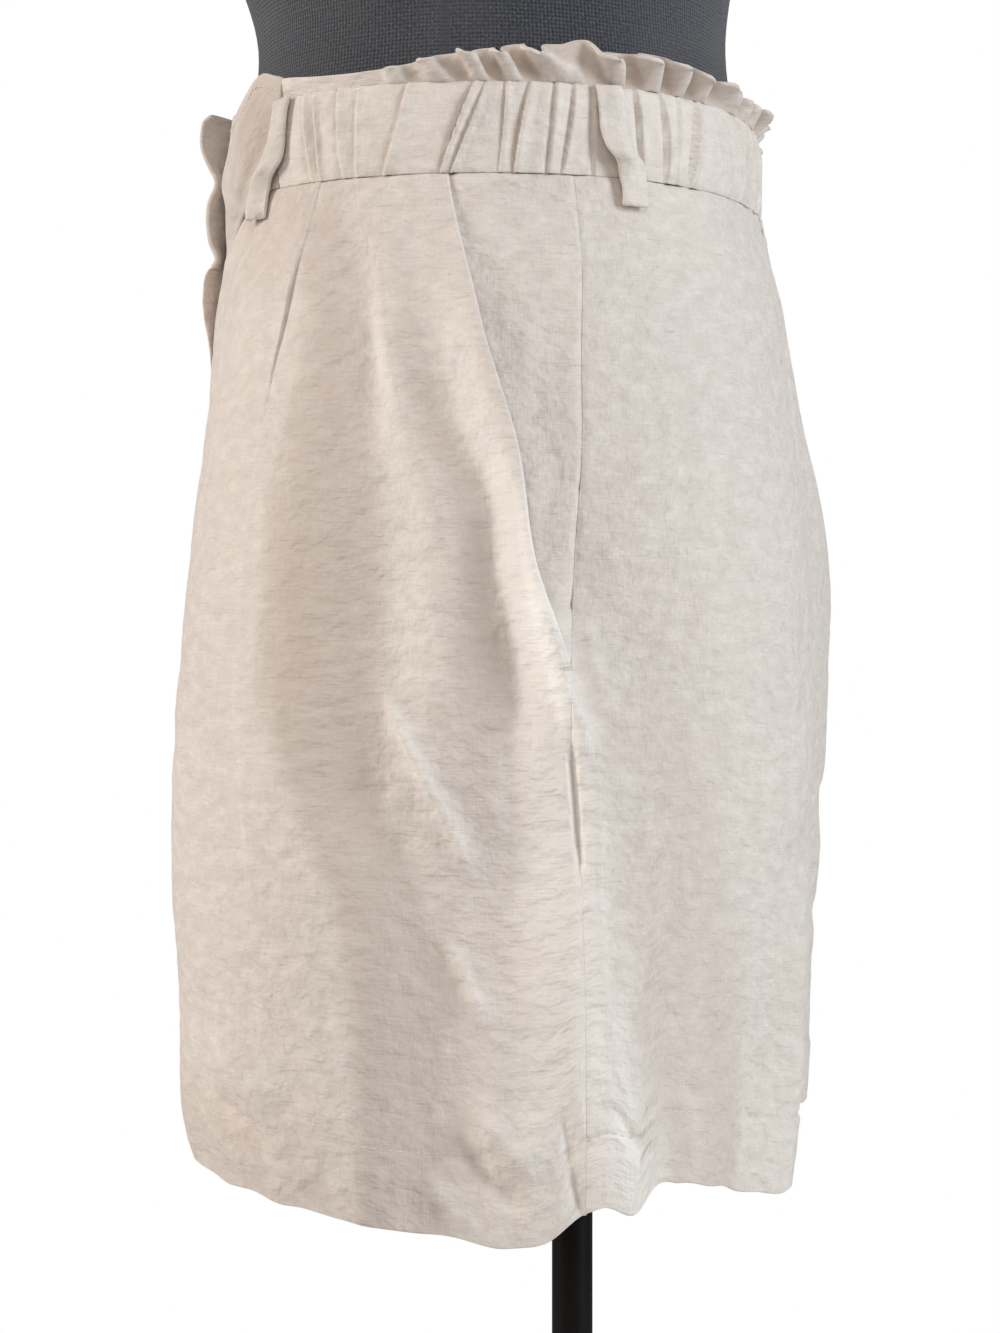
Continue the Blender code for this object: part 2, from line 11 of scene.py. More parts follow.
import bmesh
import bpy
import numpy as np
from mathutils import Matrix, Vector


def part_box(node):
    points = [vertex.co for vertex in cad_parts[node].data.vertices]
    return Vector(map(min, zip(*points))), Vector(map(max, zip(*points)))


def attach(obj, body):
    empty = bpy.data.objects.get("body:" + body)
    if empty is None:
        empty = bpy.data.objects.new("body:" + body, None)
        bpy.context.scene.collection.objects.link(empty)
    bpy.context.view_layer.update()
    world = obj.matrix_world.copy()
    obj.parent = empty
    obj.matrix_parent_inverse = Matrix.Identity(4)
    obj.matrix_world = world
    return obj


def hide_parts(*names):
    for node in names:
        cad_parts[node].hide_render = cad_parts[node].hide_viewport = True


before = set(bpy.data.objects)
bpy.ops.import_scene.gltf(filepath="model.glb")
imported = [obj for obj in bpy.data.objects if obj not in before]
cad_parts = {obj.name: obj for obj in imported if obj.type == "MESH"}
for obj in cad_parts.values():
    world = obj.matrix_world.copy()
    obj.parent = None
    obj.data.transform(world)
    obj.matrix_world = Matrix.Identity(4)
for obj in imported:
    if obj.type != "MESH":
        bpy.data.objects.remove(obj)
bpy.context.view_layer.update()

# ------------------------ sizes of the garment

WAIST_SEAM, CASING_TOP, HEM = 1.022, 1.059, 0.614  # at the side; the waist dips at the centre front
HEM_DEPTH = 0.032
HEM_LINE = HEM + HEM_DEPTH - 0.0012  # where the hem is stitched down
CROTCH, FRONT_FORK, BACK_FORK = 0.745, 0.810, 0.860
POCKET_BOTTOM, FLY_BOTTOM = 0.823, 0.870
CROTCH_SHIFT = -0.026
FORK_MIDDLE = -0.0265  # where both legs' inner seams meet at the crotch
CENTRE_FRONT_DIP = 0.019
INNER_FULLNESS = 0.74  # below 1, the power makes the inner leg fuller than an oval
BEND_REACH = 0.024  # how far from the centre seam a panel's columns keep even steps
SEAM_DRAWN = {"left": 0.802, "right": 0.812}  # where the pocket's bartack starts to draw the side seam in
POCKET_FOOT = 0.612  # the mouth's lower end, as a share of the ring
RING_SPAN = 0.42  # metres of cloth from centre front to centre back, for a share's width in metres

CLOTH, DOUBLE, FRILL_WALL = 0.0010, 0.0020, 0.0018  # one layer, a folded or lined one, and the frill's
SEAM_GAP = 0.00004  # half the space between two pieces at a seam
SEAM_TUCK, WAIST_TUCK = 0.0006, 0.0005  # how far a seam allowance pulls its edge in
FOLD_RADIUS = 0.0010

FLAT_BAND_END, FRONT_LOOP, SIDE_LOOP = 0.290, 0.295, 0.676
LOOP_TOP, LOOP_WIDTH = 1.059, 0.012
OVERLAP_END, FLY_START, FLY_TAPER = 0.045, 0.045, 0.030
BAND_RISE = 0.0050  # how far the lapping band stands out over the hooks
FLY_RISE, FACING_OUT = 0.0026, -0.0022


def records(columns, *rows):
    """Rows as dictionaries. A column whose name ends in _mm comes out in metres, without that ending."""
    return [{name.removesuffix("_mm"): value / 1000 if name.endswith("_mm") else value
             for name, value in zip(columns.split(), row)} for row in rows]


def table(columns, *rows):
    """The columns of a table as arrays, in the order of its first one."""
    rows = records(columns, *sorted(rows))
    return {name: np.array([row[name] for row in rows], float) for name in rows[0]}


# The cloth's outline at each height: its front and back in y, and how far out it comes at the side.
RINGS = table(
    "height_mm left_front_mm left_back_mm left_outer_mm right_front_mm right_back_mm right_outer_mm",
    (1090, -148, 76, 130, -148, 76, 130), (1060, -150.5, 80, 133, -150.5, 80, 133),
    (1024, -151.7, 82.5, 137, -151.7, 82.5, 137), (985, -156, 91.3, 150, -156, 91.8, 150),
    (945, -158, 95.5, 164, -158, 98.5, 164), (905, -160, 101, 175, -160, 107, 175),
    (860, -161.5, 106, 184, -161.5, 112, 184), (810, -162.5, 108, 190, -162.5, 110.5, 190),
    (745, -156, 106.5, 195, -157, 106.8, 196), (680, -148, 101.5, 199, -150, 103, 202),
    (600, -147.7, 99, 203, -149, 101.5, 207),
)
# Below the crotch, how far each inner seam is from x = 0, on its own side.
INNER = table(
    "height_mm left_mm right_mm",
    (745, -26, 26), (700, -22.5, 29), (650, -19.5, 33), (600, -17.5, 37),
)
# The seat's seam lies a little further in than the outline.
BACK_SEAM = table(
    "height_mm back_mm",
    (1090, 76), (1060, 80), (1024, 82), (985, 91), (945, 94.8), (905, 98.5), (860, 102), (745, 100),
)
# The side seam, the pocket mouth and the folded edge of the pleat, as shares of the ring.
LINES = table(
    "height_mm side_seam mouth pleat",
    (1060, 0.638, 0.494, 0.362), (1022, 0.638, 0.5, 0.352), (965, 0.635, 0.532, 0.322),
    (910, 0.63, 0.568, 0.305), (868, 0.618, 0.58, 0.297), (823, 0.612, 0.612, 0.296),
    (745, 0.621, 0.621, 0.3), (600, 0.636, 0.636, 0.31),
)
# How far the hem's edge is lifted, round the leg.
HEM_EDGE = table(
    "share left_mm right_mm",
    (0, 16, 14), (0.2, 15.5, 13), (0.32, 10.5, 9), (0.42, 6, 4), (0.5, 1.2, 2), (0.565, -2, 3),
    (0.598, 0, 4.5), (0.632, 10.2, 8), (0.65, 12.8, 10.5), (0.684, 12.2, 12.5), (0.695, 19, 14.5),
    (0.735, 20.2, 15), (0.79, 16, 12), (0.87, 8.5, 6), (1, 3.5, 4),
)
# The top edges of the flat band and, further down, of the frill.
BAND_TOPS = table(
    "share top_mm",
    (0, 1090), (0.05, 1090), (0.11, 1083), (0.19, 1081), (0.245, 1077), (0.275, 1070.5), (0.305, 1066.5),
)
# How far the free edge of the overlap stands out, held in at the hooks and at the waist seam.
FREE_EDGE = table(
    "height_mm stand_off_mm",
    (1091, 11.2), (1088.5, 14.6), (1082, 16.4), (1074, 15.6), (1066, 11.6), (1059, 7.6), (1053, 10.4),
    (1040, 11.2), (1031, 9.4), (1025.5, 6.8), (1020, 10), (1010, 10.6), (1000, 8.8), (990, 6), (978, 3.6),
    (965, 2.7), (860, 2.6),
)
FRILL_TOPS = table(
    "share top_mm",
    (0.3, 1067), (0.35, 1065), (0.43, 1065.5), (0.48, 1069.5), (0.527, 1072.5), (0.56, 1074.5),
    (0.605, 1076.5), (0.65, 1076), (0.72, 1074.5), (0.795, 1072.5), (0.853, 1069.5), (1, 1068),
)
# A belt loop from its top down: how far it stands out, and how far it has slipped aside.
LOOP = table(
    "down_mm out_mm front_shift_mm side_shift_mm",
    (0, 1.2, 0, 0), (3, 1.6, -0.2, 0.2), (12, 2.6, -0.5, 0.4), (22, 3.8, -1, 1.2),
    (27, 5.6, -2.2, 2.4), (29.5, 6.2, -4.6, 4.6), (32, 4.6, -8, 7.2), (35, 3.4, -10.4, 8.4),
    (40, 3.6, -12.2, 8.9), (46, 2.6, -13.4, 9), (49, 1.4, -13.8, 9),
)
# The dress form's ovals.
FORM = table(
    "height_mm half_width_mm front_mm back_mm",
    (790, 120, -92, 42), (794, 150, -120, 66), (806, 163, -132, 77), (840, 171, -141, 86),
    (880, 170, -144, 88), (925, 161, -143, 84), (970, 146, -141, 78), (1015, 133.6, -144.1, 77.7),
    (1035, 132.1, -143.1, 76.7), (1060, 128.6, -141.1, 72.2), (1095, 126, -138, 67.5),
    (1150, 136, -156, 74), (1210, 150, -178, 81), (1260, 160, -170, 83), (1310, 168, -143, 81),
    (1355, 165, -110, 75), (1382, 146, -87, 66), (1402, 104, -69, 57), (1420, 72, -60, 51),
    (1450, 58, -56, 49), (1478, 55, -54, 49),
)

# ------------------------ folds and creases

DRAPE_POINTS = "crest_1 trough_1 crest_2 trough_2 crest_3 ledge trough_3"
# How the leg drapes: at each height the cloth passes through crests and troughs. The first table gives
# their shares, the second how far out they are. The third crest is the pocket mouth's edge, and lower down
# the full cloth at the side seam.
DRAPE_SHARES = table(
    "height_mm " + DRAPE_POINTS,
    (1022, 0.33, 0.39, 0.425, 0.455, 0.5, 0.64, 0.8),
    (945, 0.345, 0.422, 0.448, 0.49, 0.545, 0.64, 0.8),
    (918, 0.335, 0.425, 0.468, 0.51, 0.563, 0.64, 0.79),
    (891, 0.322, 0.435, 0.497, 0.54, 0.575, 0.64, 0.78),
    (864, 0.322, 0.436, 0.508, 0.545, 0.583, 0.632, 0.77),
    (837, 0.321, 0.44, 0.502, 0.56, 0.6, 0.624, 0.76),
    (814, 0.326, 0.44, 0.502, 0.564, 0.614, 0.64, 0.756),
    (791, 0.342, 0.434, 0.506, 0.554, 0.632, 0.668, 0.76),
    (769, 0.363, 0.442, 0.51, 0.558, 0.637, 0.68, 0.77),
    (746, 0.381, 0.475, 0.505, 0.553, 0.637, 0.684, 0.79),
    (723, 0.396, 0.488, 0.515, 0.548, 0.64, 0.69, 0.81),
    (700, 0.406, 0.496, 0.522, 0.55, 0.645, 0.702, 0.832),
    (676, 0.408, 0.496, 0.524, 0.552, 0.657, 0.72, 0.845),
    (636, 0.414, 0.49, 0.524, 0.558, 0.684, 0.748, 0.85),
    (600, 0.416, 0.486, 0.524, 0.56, 0.7, 0.752, 0.85),
)
DRAPE_OUTS = table(
    "height_mm " + DRAPE_POINTS.replace(" ", "_mm ") + "_mm",
    (1022, 0, 0, 0, 0, 0, 0, 0), (985, 1, -3, -1.2, -2, 0.6, 0, 0),
    (945, 2, -4.6, -1, -4, 2.2, 0, 0), (918, 3, -5.2, -0.8, -4.2, 3.2, 0, 0),
    (891, 4, -6, -0.6, -3.6, 4, 0, 0), (864, 5, -7, -0.8, -4.2, 5, 0.3, 0),
    (837, 5.5, -7.6, -2, -5, 6, 0.3, -0.5), (814, 5.5, -8, -3.2, -6, 5.8, 1, -1),
    (791, 5, -8, -4.4, -6.4, 4.4, 2.4, -1.5), (769, 5, -8, -5.4, -6.6, 4.4, 2.4, -2.2),
    (746, 5, -8.4, -6.8, -6.8, 4.8, 2.4, -3), (723, 5, -8.8, -7.8, -6.6, 4.8, 2, -4),
    (700, 5, -9, -7.4, -5.8, 5.4, 1.6, -5), (676, 5, -9, -7.2, -5.4, 6, 1.2, -6),
    (636, 5, -8.6, -6.6, -4.6, 6.2, 0.6, -6.5), (600, 5, -8.6, -6.6, -4.6, 6.2, 0.6, -6.5),
)
# Large soft folds: where each starts and ends, its width and how far it stands out (or in).
FOLD_COLUMNS = "share_top share_foot top_mm foot_mm width_mm depth_mm"
FRONT_FOLD = (0.19, 0.15, 960, 520, 40, 5)  # the full front of the leg
FOLDS = {
    "left": records(FOLD_COLUMNS, FRONT_FOLD, (0.93, 0.95, 780, 500, 22, 4)),
    "right": records(FOLD_COLUMNS, FRONT_FOLD, (0.89, 0.91, 720, 500, 30, -4)),
}
# Creases run between two places. Their two flanks may differ in width; bow bends them towards the back.
# power 2 is a soft round crease, and 1.2 a sharp one.
CREASE_COLUMNS = "share_a height_a_mm share_b height_b_mm front_mm back_mm depth_mm bow_mm power"
# The crests of these creases also get a painted highlight: the cloth is drawn paler along them.
PALE_CREASES = {  # the slanting ones on the front of the left thigh, whose crests are paler
    "left": records(
        CREASE_COLUMNS,
        (0.428, 826, 0.532, 741, 3.4, 4, 3.6, 1, 1.5), (0.452, 822, 0.548, 744, 6, 7, -1.4, 1, 1.8),
        (0.49, 728, 0.54, 690, 3.4, 4, 2.6, 1, 1.5), (0.57, 866, 0.636, 790, 6, 15, 3.8, 0, 1.8),
    ),
    "right": [],
}
BOTH_CREASES = records(
    CREASE_COLUMNS,
    (0, 812, 0.15, 850, 7, 9, -2.4, 3, 1.8), (0.75, 900, 0.83, 800, 20, 20, -1.6, 6, 2),
    (0.7, 760, 0.76, 660, 16, 16, 1.8, 4, 2),
)
LEFT_CREASES = records(
    CREASE_COLUMNS,
    # the thigh
    (0.15, 800, 0.27, 776, 4, 6, 0.8, 1, 1.6), (0.18, 730, 0.3, 742, 5, 7, -0.7, 1, 1.8),
    # near the hem
    (0.5, 656, 0.585, 628, 5, 3.4, -4.2, -3, 1.5), (0.515, 668, 0.596, 640, 7, 6, 4, -2, 1.7),
    (0.455, 640, 0.52, 618, 5, 5, 2.6, 1, 1.7), (0.606, 662, 0.617, 634, 2.6, 3, -2, 1, 1.5),
    (0.617, 640, 0.632, 612, 3, 1.6, -3, 0, 1.4), (0.655, 655, 0.7, 628, 3, 5, -2.6, 1, 1.5),
    (0.19, 656, 0.33, 632, 5, 6, -3.6, 3, 1.6), (0.235, 680, 0.335, 650, 12, 10, 4.2, 0, 2),
    (0.3, 640, 0.38, 622, 5, 5, 2, -2, 1.7), (0.655, 656, 0.79, 648, 3, 5, -1.8, 2, 1.6),
    (0.74, 690, 0.8, 668, 5, 6, -2, 2, 1.7),
    # the seat, and the pull lines from the fork
    (0.925, 945, 0.985, 898, 5, 5, -2.2, 1, 1.5), (0.94, 870, 0.965, 780, 7, 7, -1.4, 2, 1.8),
    (1.12, 790, 0.84, 744, 6, 11, -3.4, 6, 1.7), (1.06, 812, 0.86, 840, 8, 7, -2, -4, 1.7),
    (1.12, 730, 0.9, 690, 8, 10, -2.8, 4, 1.8), (0.9, 735, 0.935, 630, 10, 14, 4.4, 2, 1.9),
    (-0.04, 786, 0.13, 796, 7, 8, 2.2, 3, 1.8), (-0.06, 745, 0.06, 650, 9, 12, -3.6, 3, 1.9),
)
RIGHT_CREASES = records(
    CREASE_COLUMNS,
    # the thigh
    (0.43, 800, 0.515, 735, 3.6, 6, 1.9, 2, 1.5), (0.23, 740, 0.33, 690, 5, 8, 1.4, -2, 1.6),
    # near the hem
    (0.48, 652, 0.56, 630, 5, 4, -3.6, -2, 1.5), (0.23, 668, 0.33, 640, 8, 8, 3.6, 2, 1.8),
    (0.62, 650, 0.665, 626, 4, 4, -3, 1, 1.6), (0.76, 662, 0.84, 642, 5, 6, -2.4, 2, 1.7),
    # the seat, and the pull lines from the fork
    (0.905, 935, 0.975, 890, 6, 6, -2, 1, 1.6), (0.93, 880, 0.96, 790, 8, 8, -1.6, 2, 1.8),
    (1.14, 782, 0.8, 752, 6, 12, -3.6, 7, 1.7), (1.05, 820, 0.83, 862, 8, 7, -2.4, -5, 1.7),
    (1.1, 722, 0.86, 700, 7, 9, -2.6, 4, 1.8), (0.96, 730, 0.9, 620, 11, 15, 4.6, -2, 1.9),
    (0.78, 760, 0.84, 640, 12, 15, -3.6, 3, 1.9), (-0.04, 784, 0.16, 812, 7, 8, 2.2, 3, 1.8),
    (-0.05, 750, 0.09, 640, 9, 12, -4, -3, 1.9), (0.12, 930, 0.09, 800, 10, 12, -2.2, 3, 1.9),
)
CREASES = {
    "left": PALE_CREASES["left"] + LEFT_CREASES + BOTH_CREASES,
    "right": RIGHT_CREASES + BOTH_CREASES,
}
# On the pocket facing, short crosswise creases.
FACING_CREASES = records(
    CREASE_COLUMNS,
    (0.585, 893, 0.632, 896, 2.2, 4, -1.4, 0, 1.4), (0.6, 852, 0.628, 850, 2, 3.6, -1.4, 0, 1.4),
    (0.56, 940, 0.6, 925, 5, 5, -0.8, 0, 1.8),
)
# The flat front band is a little crumpled.
BAND_CREASES = records(
    CREASE_COLUMNS,
    (0.305, 1058, 0.08, 1022, 4.5, 9, -5.2, 2, 1.6), (0.3, 1044, 0.17, 1010, 4.5, 7, 3.4, 2, 1.6),
    (0.255, 1074, 0.18, 1056, 6, 6, 3, 1, 1.7), (0.06, 1070, 0.11, 1046, 6, 6, 2, 1, 1.8),
)
# Tucks of the gathered casing: where each starts and ends, the width of its lip and how far it stands out.
TUCKS = records(
    "share_top share_foot width_mm height_mm",
    (0.325, 0.341, 2.6, 0.9), (0.34, 0.352, 2, 1.1), (0.374, 0.383, 3, 1.1), (0.4, 0.398, 1.8, 0.5),
    (0.458, 0.43, 3, 1.2), (0.532, 0.494, 2.6, 1.3), (0.545, 0.505, 2.2, 1), (0.566, 0.557, 2.2, 0.9),
    (0.592, 0.573, 3, 1.3), (0.62, 0.609, 2.6, 1.2), (0.64, 0.624, 2, 0.9), (0.662, 0.66, 3, 1),
    (0.712, 0.716, 3.4, 1.2), (0.744, 0.747, 2.6, 1.4), (0.77, 0.762, 2.2, 0.8), (0.801, 0.781, 3.4, 1.7),
    (0.85, 0.856, 2.2, 0.8), (0.893, 0.888, 2.4, 1.2), (0.935, 0.94, 2.2, 0.9), (0.972, 0.965, 2.6, 1.2),
)

# ------------------------ numbers along a line


def ease(share):
    """0 to 1 with a level start and end: 3s^2 - 2s^3."""
    share = np.clip(share, 0.0, 1.0)
    return share * share * (3 - 2 * share)


def column(rows, name, at):
    """One column of a table at the places `at` of its first one, by a cubic through its rows."""
    places, values = next(iter(rows.values())), rows[name]
    slopes = np.gradient(values, places)
    at = np.clip(at, places[0], places[-1])
    i = np.clip(np.searchsorted(places, at) - 1, 0, len(places) - 2)
    step = places[i + 1] - places[i]
    u = (at - places[i]) / step
    return (values[i] * (1 + 2 * u) * (1 - u) ** 2 + slopes[i] * step * u * (1 - u) ** 2
            + values[i + 1] * u * u * (3 - 2 * u) + slopes[i + 1] * step * u * u * (u - 1))


def together(*values):
    """The values as arrays of one shape."""
    return np.broadcast_arrays(*(np.asarray(v, float) for v in values))


def uneven(along, up, size, seed):
    """Soft random relief, -1 to 1: random values on a square lattice of that size, joined by ease curves."""
    lattice = np.random.default_rng(seed).uniform(-1, 1, (97, 97))
    x, y = np.asarray(along) / size + 31.7, np.asarray(up) / size + 17.3
    i, j = np.floor(x).astype(int), np.floor(y).astype(int)
    a, b = ease(x - i), ease(y - j)
    i, j, k, m = i % 97, j % 97, (i + 1) % 97, (j + 1) % 97
    low = lattice[i, j] + (lattice[k, j] - lattice[i, j]) * a
    return low + (lattice[i, m] + (lattice[k, m] - lattice[i, m]) * a - low) * b


def spread(length, count, finer_start=0.0, finer_end=0.0):
    """Places from 0 to length: evenly spaced, or closer together towards an end by that share."""
    t = np.linspace(0, 1, count)
    t = t - min(finer_start, finer_end) * np.sin(2 * math.pi * t) / (2 * math.pi)
    return length * (t + (finer_end - finer_start) * np.sin(math.pi * t) / math.pi)


# ------------------------ the surface of the cloth

SIGN = {"left": 1.0, "right": -1.0}


def inner_side(side, height):
    """How far the inner edge of a half is from x = 0, on its own side."""
    middle = SIGN[side] * CROTCH_SHIFT * ease((0.90 - height) / (0.90 - CROTCH))
    return np.where(height > CROTCH, middle, column(INNER, side, height)) + SEAM_GAP


def run_in(height, fork, softer):
    """1 above the fork, falling to 0 at the crotch: (1 - share^2.5)^0.4, or ^1.6 where softer is 1."""
    share = np.clip((fork - height) / (fork - CROTCH), 0.0, 1.0)
    return (1 - share**2.5) ** (0.4 + 1.2 * softer)


def ring(side, share, height):
    """(x on the own side, y): a half ellipse round the outer side, made fuller at its quarters, and below
    the fork two inner quarters that meet at the inner seam. The seat's seam lies in a shallow valley."""
    share, height = together(share, height)
    front, back, outer = (column(RINGS, f"{side}_{name}", height) for name in ("front", "back", "outer"))
    inner = inner_side(side, height)
    front_top = inner + (outer - inner) / 2 * ease((0.865 - height) / 0.165)
    back_top = inner + (outer - inner) / 2 * ease((1.015 - height) / 0.195)
    centre_y, half_y = (front + back) / 2, (back - front) / 2
    angle = math.pi * np.clip(share, 0, 1)
    fuller = 1 + 0.022 * np.sin(2 * angle) ** 2
    top = np.where(share < 0.5, front_top, back_top)
    x = top + (outer - top) * np.sin(angle) * fuller
    y = centre_y - half_y * np.cos(angle) * fuller
    under = FORK_MIDDLE + (centre_y - FORK_MIDDLE) * ease((CROTCH - height) / 0.03)
    for inside, part, top_x, edge, seam_top, fork in (
        (share < 0, -share, front_top, front, front, FRONT_FORK),
        (share > 1, share - 1, back_top, back, column(BACK_SEAM, "back", height), BACK_FORK),
    ):
        turn = np.clip(part, 0, 1) * math.pi / 2
        softer = np.clip(np.cos(turn), 0, 1)
        reach = run_in(height + 0.035 * softer, fork, softer)
        seam = under + (edge - under) * reach
        across = np.sin(turn) ** INNER_FULLNESS
        x = np.where(inside, top_x - (top_x - inner) * across, x)
        valley = (edge - seam_top) * reach * across**2
        y = np.where(inside, seam + (edge - seam) * softer**INNER_FULLNESS - valley, y)
    return x, y


def creased(share, height, creases):
    """How far creases move the cloth out: along each one the profile is
    depth * exp(-(distance / flank width)^power), and it fades in and out over the crease's two ends."""
    out = np.zeros(np.broadcast(share, height).shape)
    for c in creases:
        du, dz = (c["share_b"] - c["share_a"]) * RING_SPAN, c["height_b"] - c["height_a"]
        length = math.hypot(du, dz)
        u, z = (share - c["share_a"]) * RING_SPAN, height - c["height_a"]
        along = (u * du + z * dz) / length**2
        off = (u * -dz + z * du) / length - c["bow"] * 4 * along * (1 - along)
        width = np.where(off < 0, c["front"], c["back"])
        strength = ease(along / 0.32) * ease((1 - along) / 0.32)
        out = out + c["depth"] * strength * np.exp(-np.abs(off / width) ** c["power"])
    return out


def folded(side, share, height):
    """How far the large folds move the cloth out: a bell across each fold's line, eased at its ends."""
    out = np.zeros(np.broadcast(share, height).shape)
    for f in FOLDS[side]:
        way = (f["top"] - height) / (f["top"] - f["foot"])
        off = (share - f["share_top"] - (f["share_foot"] - f["share_top"]) * way) * RING_SPAN / f["width"]
        out = out + f["depth"] * ease(way / 0.3) * (1 - ease((way - 0.7) / 0.3)) * np.exp(-off * off)
    return out


def draped(side, share, height):
    """How far out the leg's drape is: at each height it runs through the crests and troughs of the two
    tables, each joined to the next by a slightly sharpened ease curve. The right side's are shallower and
    wander."""
    share, height = together(share, height)
    wander, deep = (0.0, 1.0) if side == "left" else (0.013 * np.sin(15 * (height - 0.70)), 0.85)
    last_place, last_out, out = 0.12, 0.0, 0.0
    for name in DRAPE_POINTS.split():
        place, level = column(DRAPE_SHARES, name, height) + wander, column(DRAPE_OUTS, name, height) * deep
        way = np.clip((share - last_place) / (place - last_place), 0, 1)
        out = out + (level - last_out) * (0.68 * ease(way) + 0.32 * way)
        last_place, last_out = place, level
    return out - last_out * ease((share - last_place) / (1 - last_place))


def falling(side, share, height):
    """How steeply the drape falls towards the back, 0 to 1, as painted shade on those flanks, and painted
    shade near the front of the hem and under the front of the waist; below 0 it rises, stands proud or lies
    on a pale crease's crest, as a painted highlight."""
    step = 0.012
    ahead, behind = draped(side, share + step, height), draped(side, share - step, height)
    slope = (ahead - behind) / (2 * step * RING_SPAN)
    fall = np.clip(-slope / 0.30, 0, 1) - np.clip((slope - 0.10) / 0.34, 0, 1)
    proud = np.clip((draped(side, share, height) - 0.0015) / 0.0035, 0, 1) * ease((share - 0.55) / 0.03)
    creases = np.clip(creased(share, height, PALE_CREASES[side]) / 0.0022, 0, 1)
    foot = 0.5 * ease((HEM + 0.055 - height) / 0.035) * ease((0.44 - share) / 0.12)
    head = 0.55 * ease((height - 0.965) / 0.045) * ease((0.44 - share) / 0.14) * ease((share - 0.17) / 0.10)
    # fall, foot and head are painted shade; proud and creases are painted highlights.
    return fall * ease((share - 0.2) / 0.1) + foot + head - 0.9 * proud - 0.5 * creases


def crumpled(side, share, height):
    """The cloth's slight overall unevenness: three sizes of soft random relief, calmer on the seat."""
    seed = 11 + (side == "right")
    along = share * RING_SPAN
    calm = 1 - 0.45 * ease((share - 0.64) / 0.06) * ease((height - 0.70) / 0.05)
    big = uneven(along + 0.3 * height, height, 0.036, seed) * 0.00085
    middle = uneven(along, height - 0.2 * along, 0.016, seed + 10) * 0.00042
    small = uneven(along + 0.1 * height, height * 1.5, 0.0072, seed + 20) * 0.00018
    return (big + middle + small) * calm


def hem_curl(share, height):
    """The foot of the leg curls in towards the hem, most in front: depth * (way down)^2."""
    way = np.clip((HEM + 0.042 - height) / 0.042, 0, 1)
    return -(0.0018 + 0.0042 * ease((0.50 - share) / 0.20)) * way * way


def hem_turned(side, share, height):
    """The turned-up hem shows as slightly thicker cloth under a puckered line of stitching."""
    above = height - HEM_LINE
    pucker = uneven(share * RING_SPAN, height * 0.4, 0.0065, 15 + (side == "right"))
    line = np.exp(-((above / 0.0013) ** 2)) * (0.0007 + 0.0004 * pucker)
    shown = 0.0006 * ease(-above / 0.0016) - line + 0.0007 * pucker * np.exp(-np.abs(above) / 0.006)
    return shown * (0.25 + 0.75 * ease((share - 0.62) / 0.04))


def relief(side, share, height):
    """How far out the cloth of the legs and the seat is, all together."""
    return (hem_turned(side, share, height) + folded(side, share, height) + draped(side, share, height)
            + creased(share, height, CREASES[side]) + crumpled(side, share, height)
            + hem_curl(share, height))


def placed(side, share, height, out, along=0.0, low=0.0):
    """Points of the cloth moved out along the ring's normal, and along the ring towards the back. The last
    axis is x, y, z. low takes them straight down."""
    share, height = together(share, height)
    step = 1e-4
    x, y = ring(side, share, height)
    ahead, behind = ring(side, share + step, height), ring(side, share - step, height)
    along_x, along_y = ahead[0] - behind[0], ahead[1] - behind[1]
    length = np.maximum(np.hypot(along_x, along_y), 1e-9)
    along_x, along_y = along_x / length, along_y / length
    x = x + along_y * out + along_x * along
    y = y - along_x * out + along_y * along
    shape = np.clip(share, 0, 1)
    dip = -CENTRE_FRONT_DIP * ease((0.29 - shape) / 0.15) * ease((height - 0.86) / 0.15)
    rise = column(HEM_EDGE, side, shape)
    inner_share = np.where(share < 0, -share, np.where(share > 1, share - 1, 0))
    rise = rise + (column(HEM_EDGE, side, 0.0) - rise) * ease(inner_share)
    rise = rise + 0.0012 * uneven(share * RING_SPAN, 0 * height, 0.016, 21 + (side == "right"))
    foot = rise * np.clip((WAIST_SEAM - height) / (WAIST_SEAM - HEM), 0, 1) ** 3
    return np.stack([SIGN[side] * x, y, height + dip + foot - low], axis=-1)


def run_along(side, height, start, end):
    """Shares from start to end at one height, and how far along the cloth each is from the first."""
    fine = np.linspace(start, end, 500)
    points = np.stack(ring(side, fine, np.full_like(fine, height)), axis=-1)
    steps = np.linalg.norm(np.diff(points, axis=0), axis=1)
    keep = np.concatenate([[True], steps > 1e-9])
    return fine[keep], np.concatenate([[0], np.cumsum(steps)])[keep]


# ------------------------ meshes


def add_mesh(name, points, faces, uv=None, smooth=True, **marks):
    """A mesh object at the origin from points and quads. uv is the cloth's own map in metres. Of its marks,
    worn, from 0 to 1, is for folded and seamed edges; the other is painted shade above 0, on the flanks of
    folds, in hollows and on the band's ends, and painted highlight below 0."""
    mesh = bpy.data.meshes.new(name)
    points = np.ascontiguousarray(points.reshape(-1, 3), dtype=np.float32)
    faces = np.ascontiguousarray(faces, dtype=np.int32)
    mesh.vertices.add(len(points))
    mesh.vertices.foreach_set("co", points.ravel())
    mesh.loops.add(faces.size)
    mesh.loops.foreach_set("vertex_index", faces.ravel())
    mesh.polygons.add(len(faces))
    mesh.polygons.foreach_set("loop_start", np.arange(0, faces.size, faces.shape[1], dtype=np.int32))
    mesh.polygons.foreach_set("use_smooth", np.full(len(faces), smooth))
    if uv is not None:
        layer = mesh.uv_layers.new(name="cloth")
        layer.uv.foreach_set("vector", uv.reshape(-1, 2)[faces.ravel()].astype(np.float32).ravel())
    for label, values in marks.items():
        spot = mesh.attributes.new(label, "FLOAT", "POINT")
        spot.data.foreach_set("value", values.astype(np.float32).ravel())
    mesh.update(calc_edges=True)
    mesh.validate()
    obj = bpy.data.objects.new(name, mesh)
    bpy.context.scene.collection.objects.link(obj)
    return obj


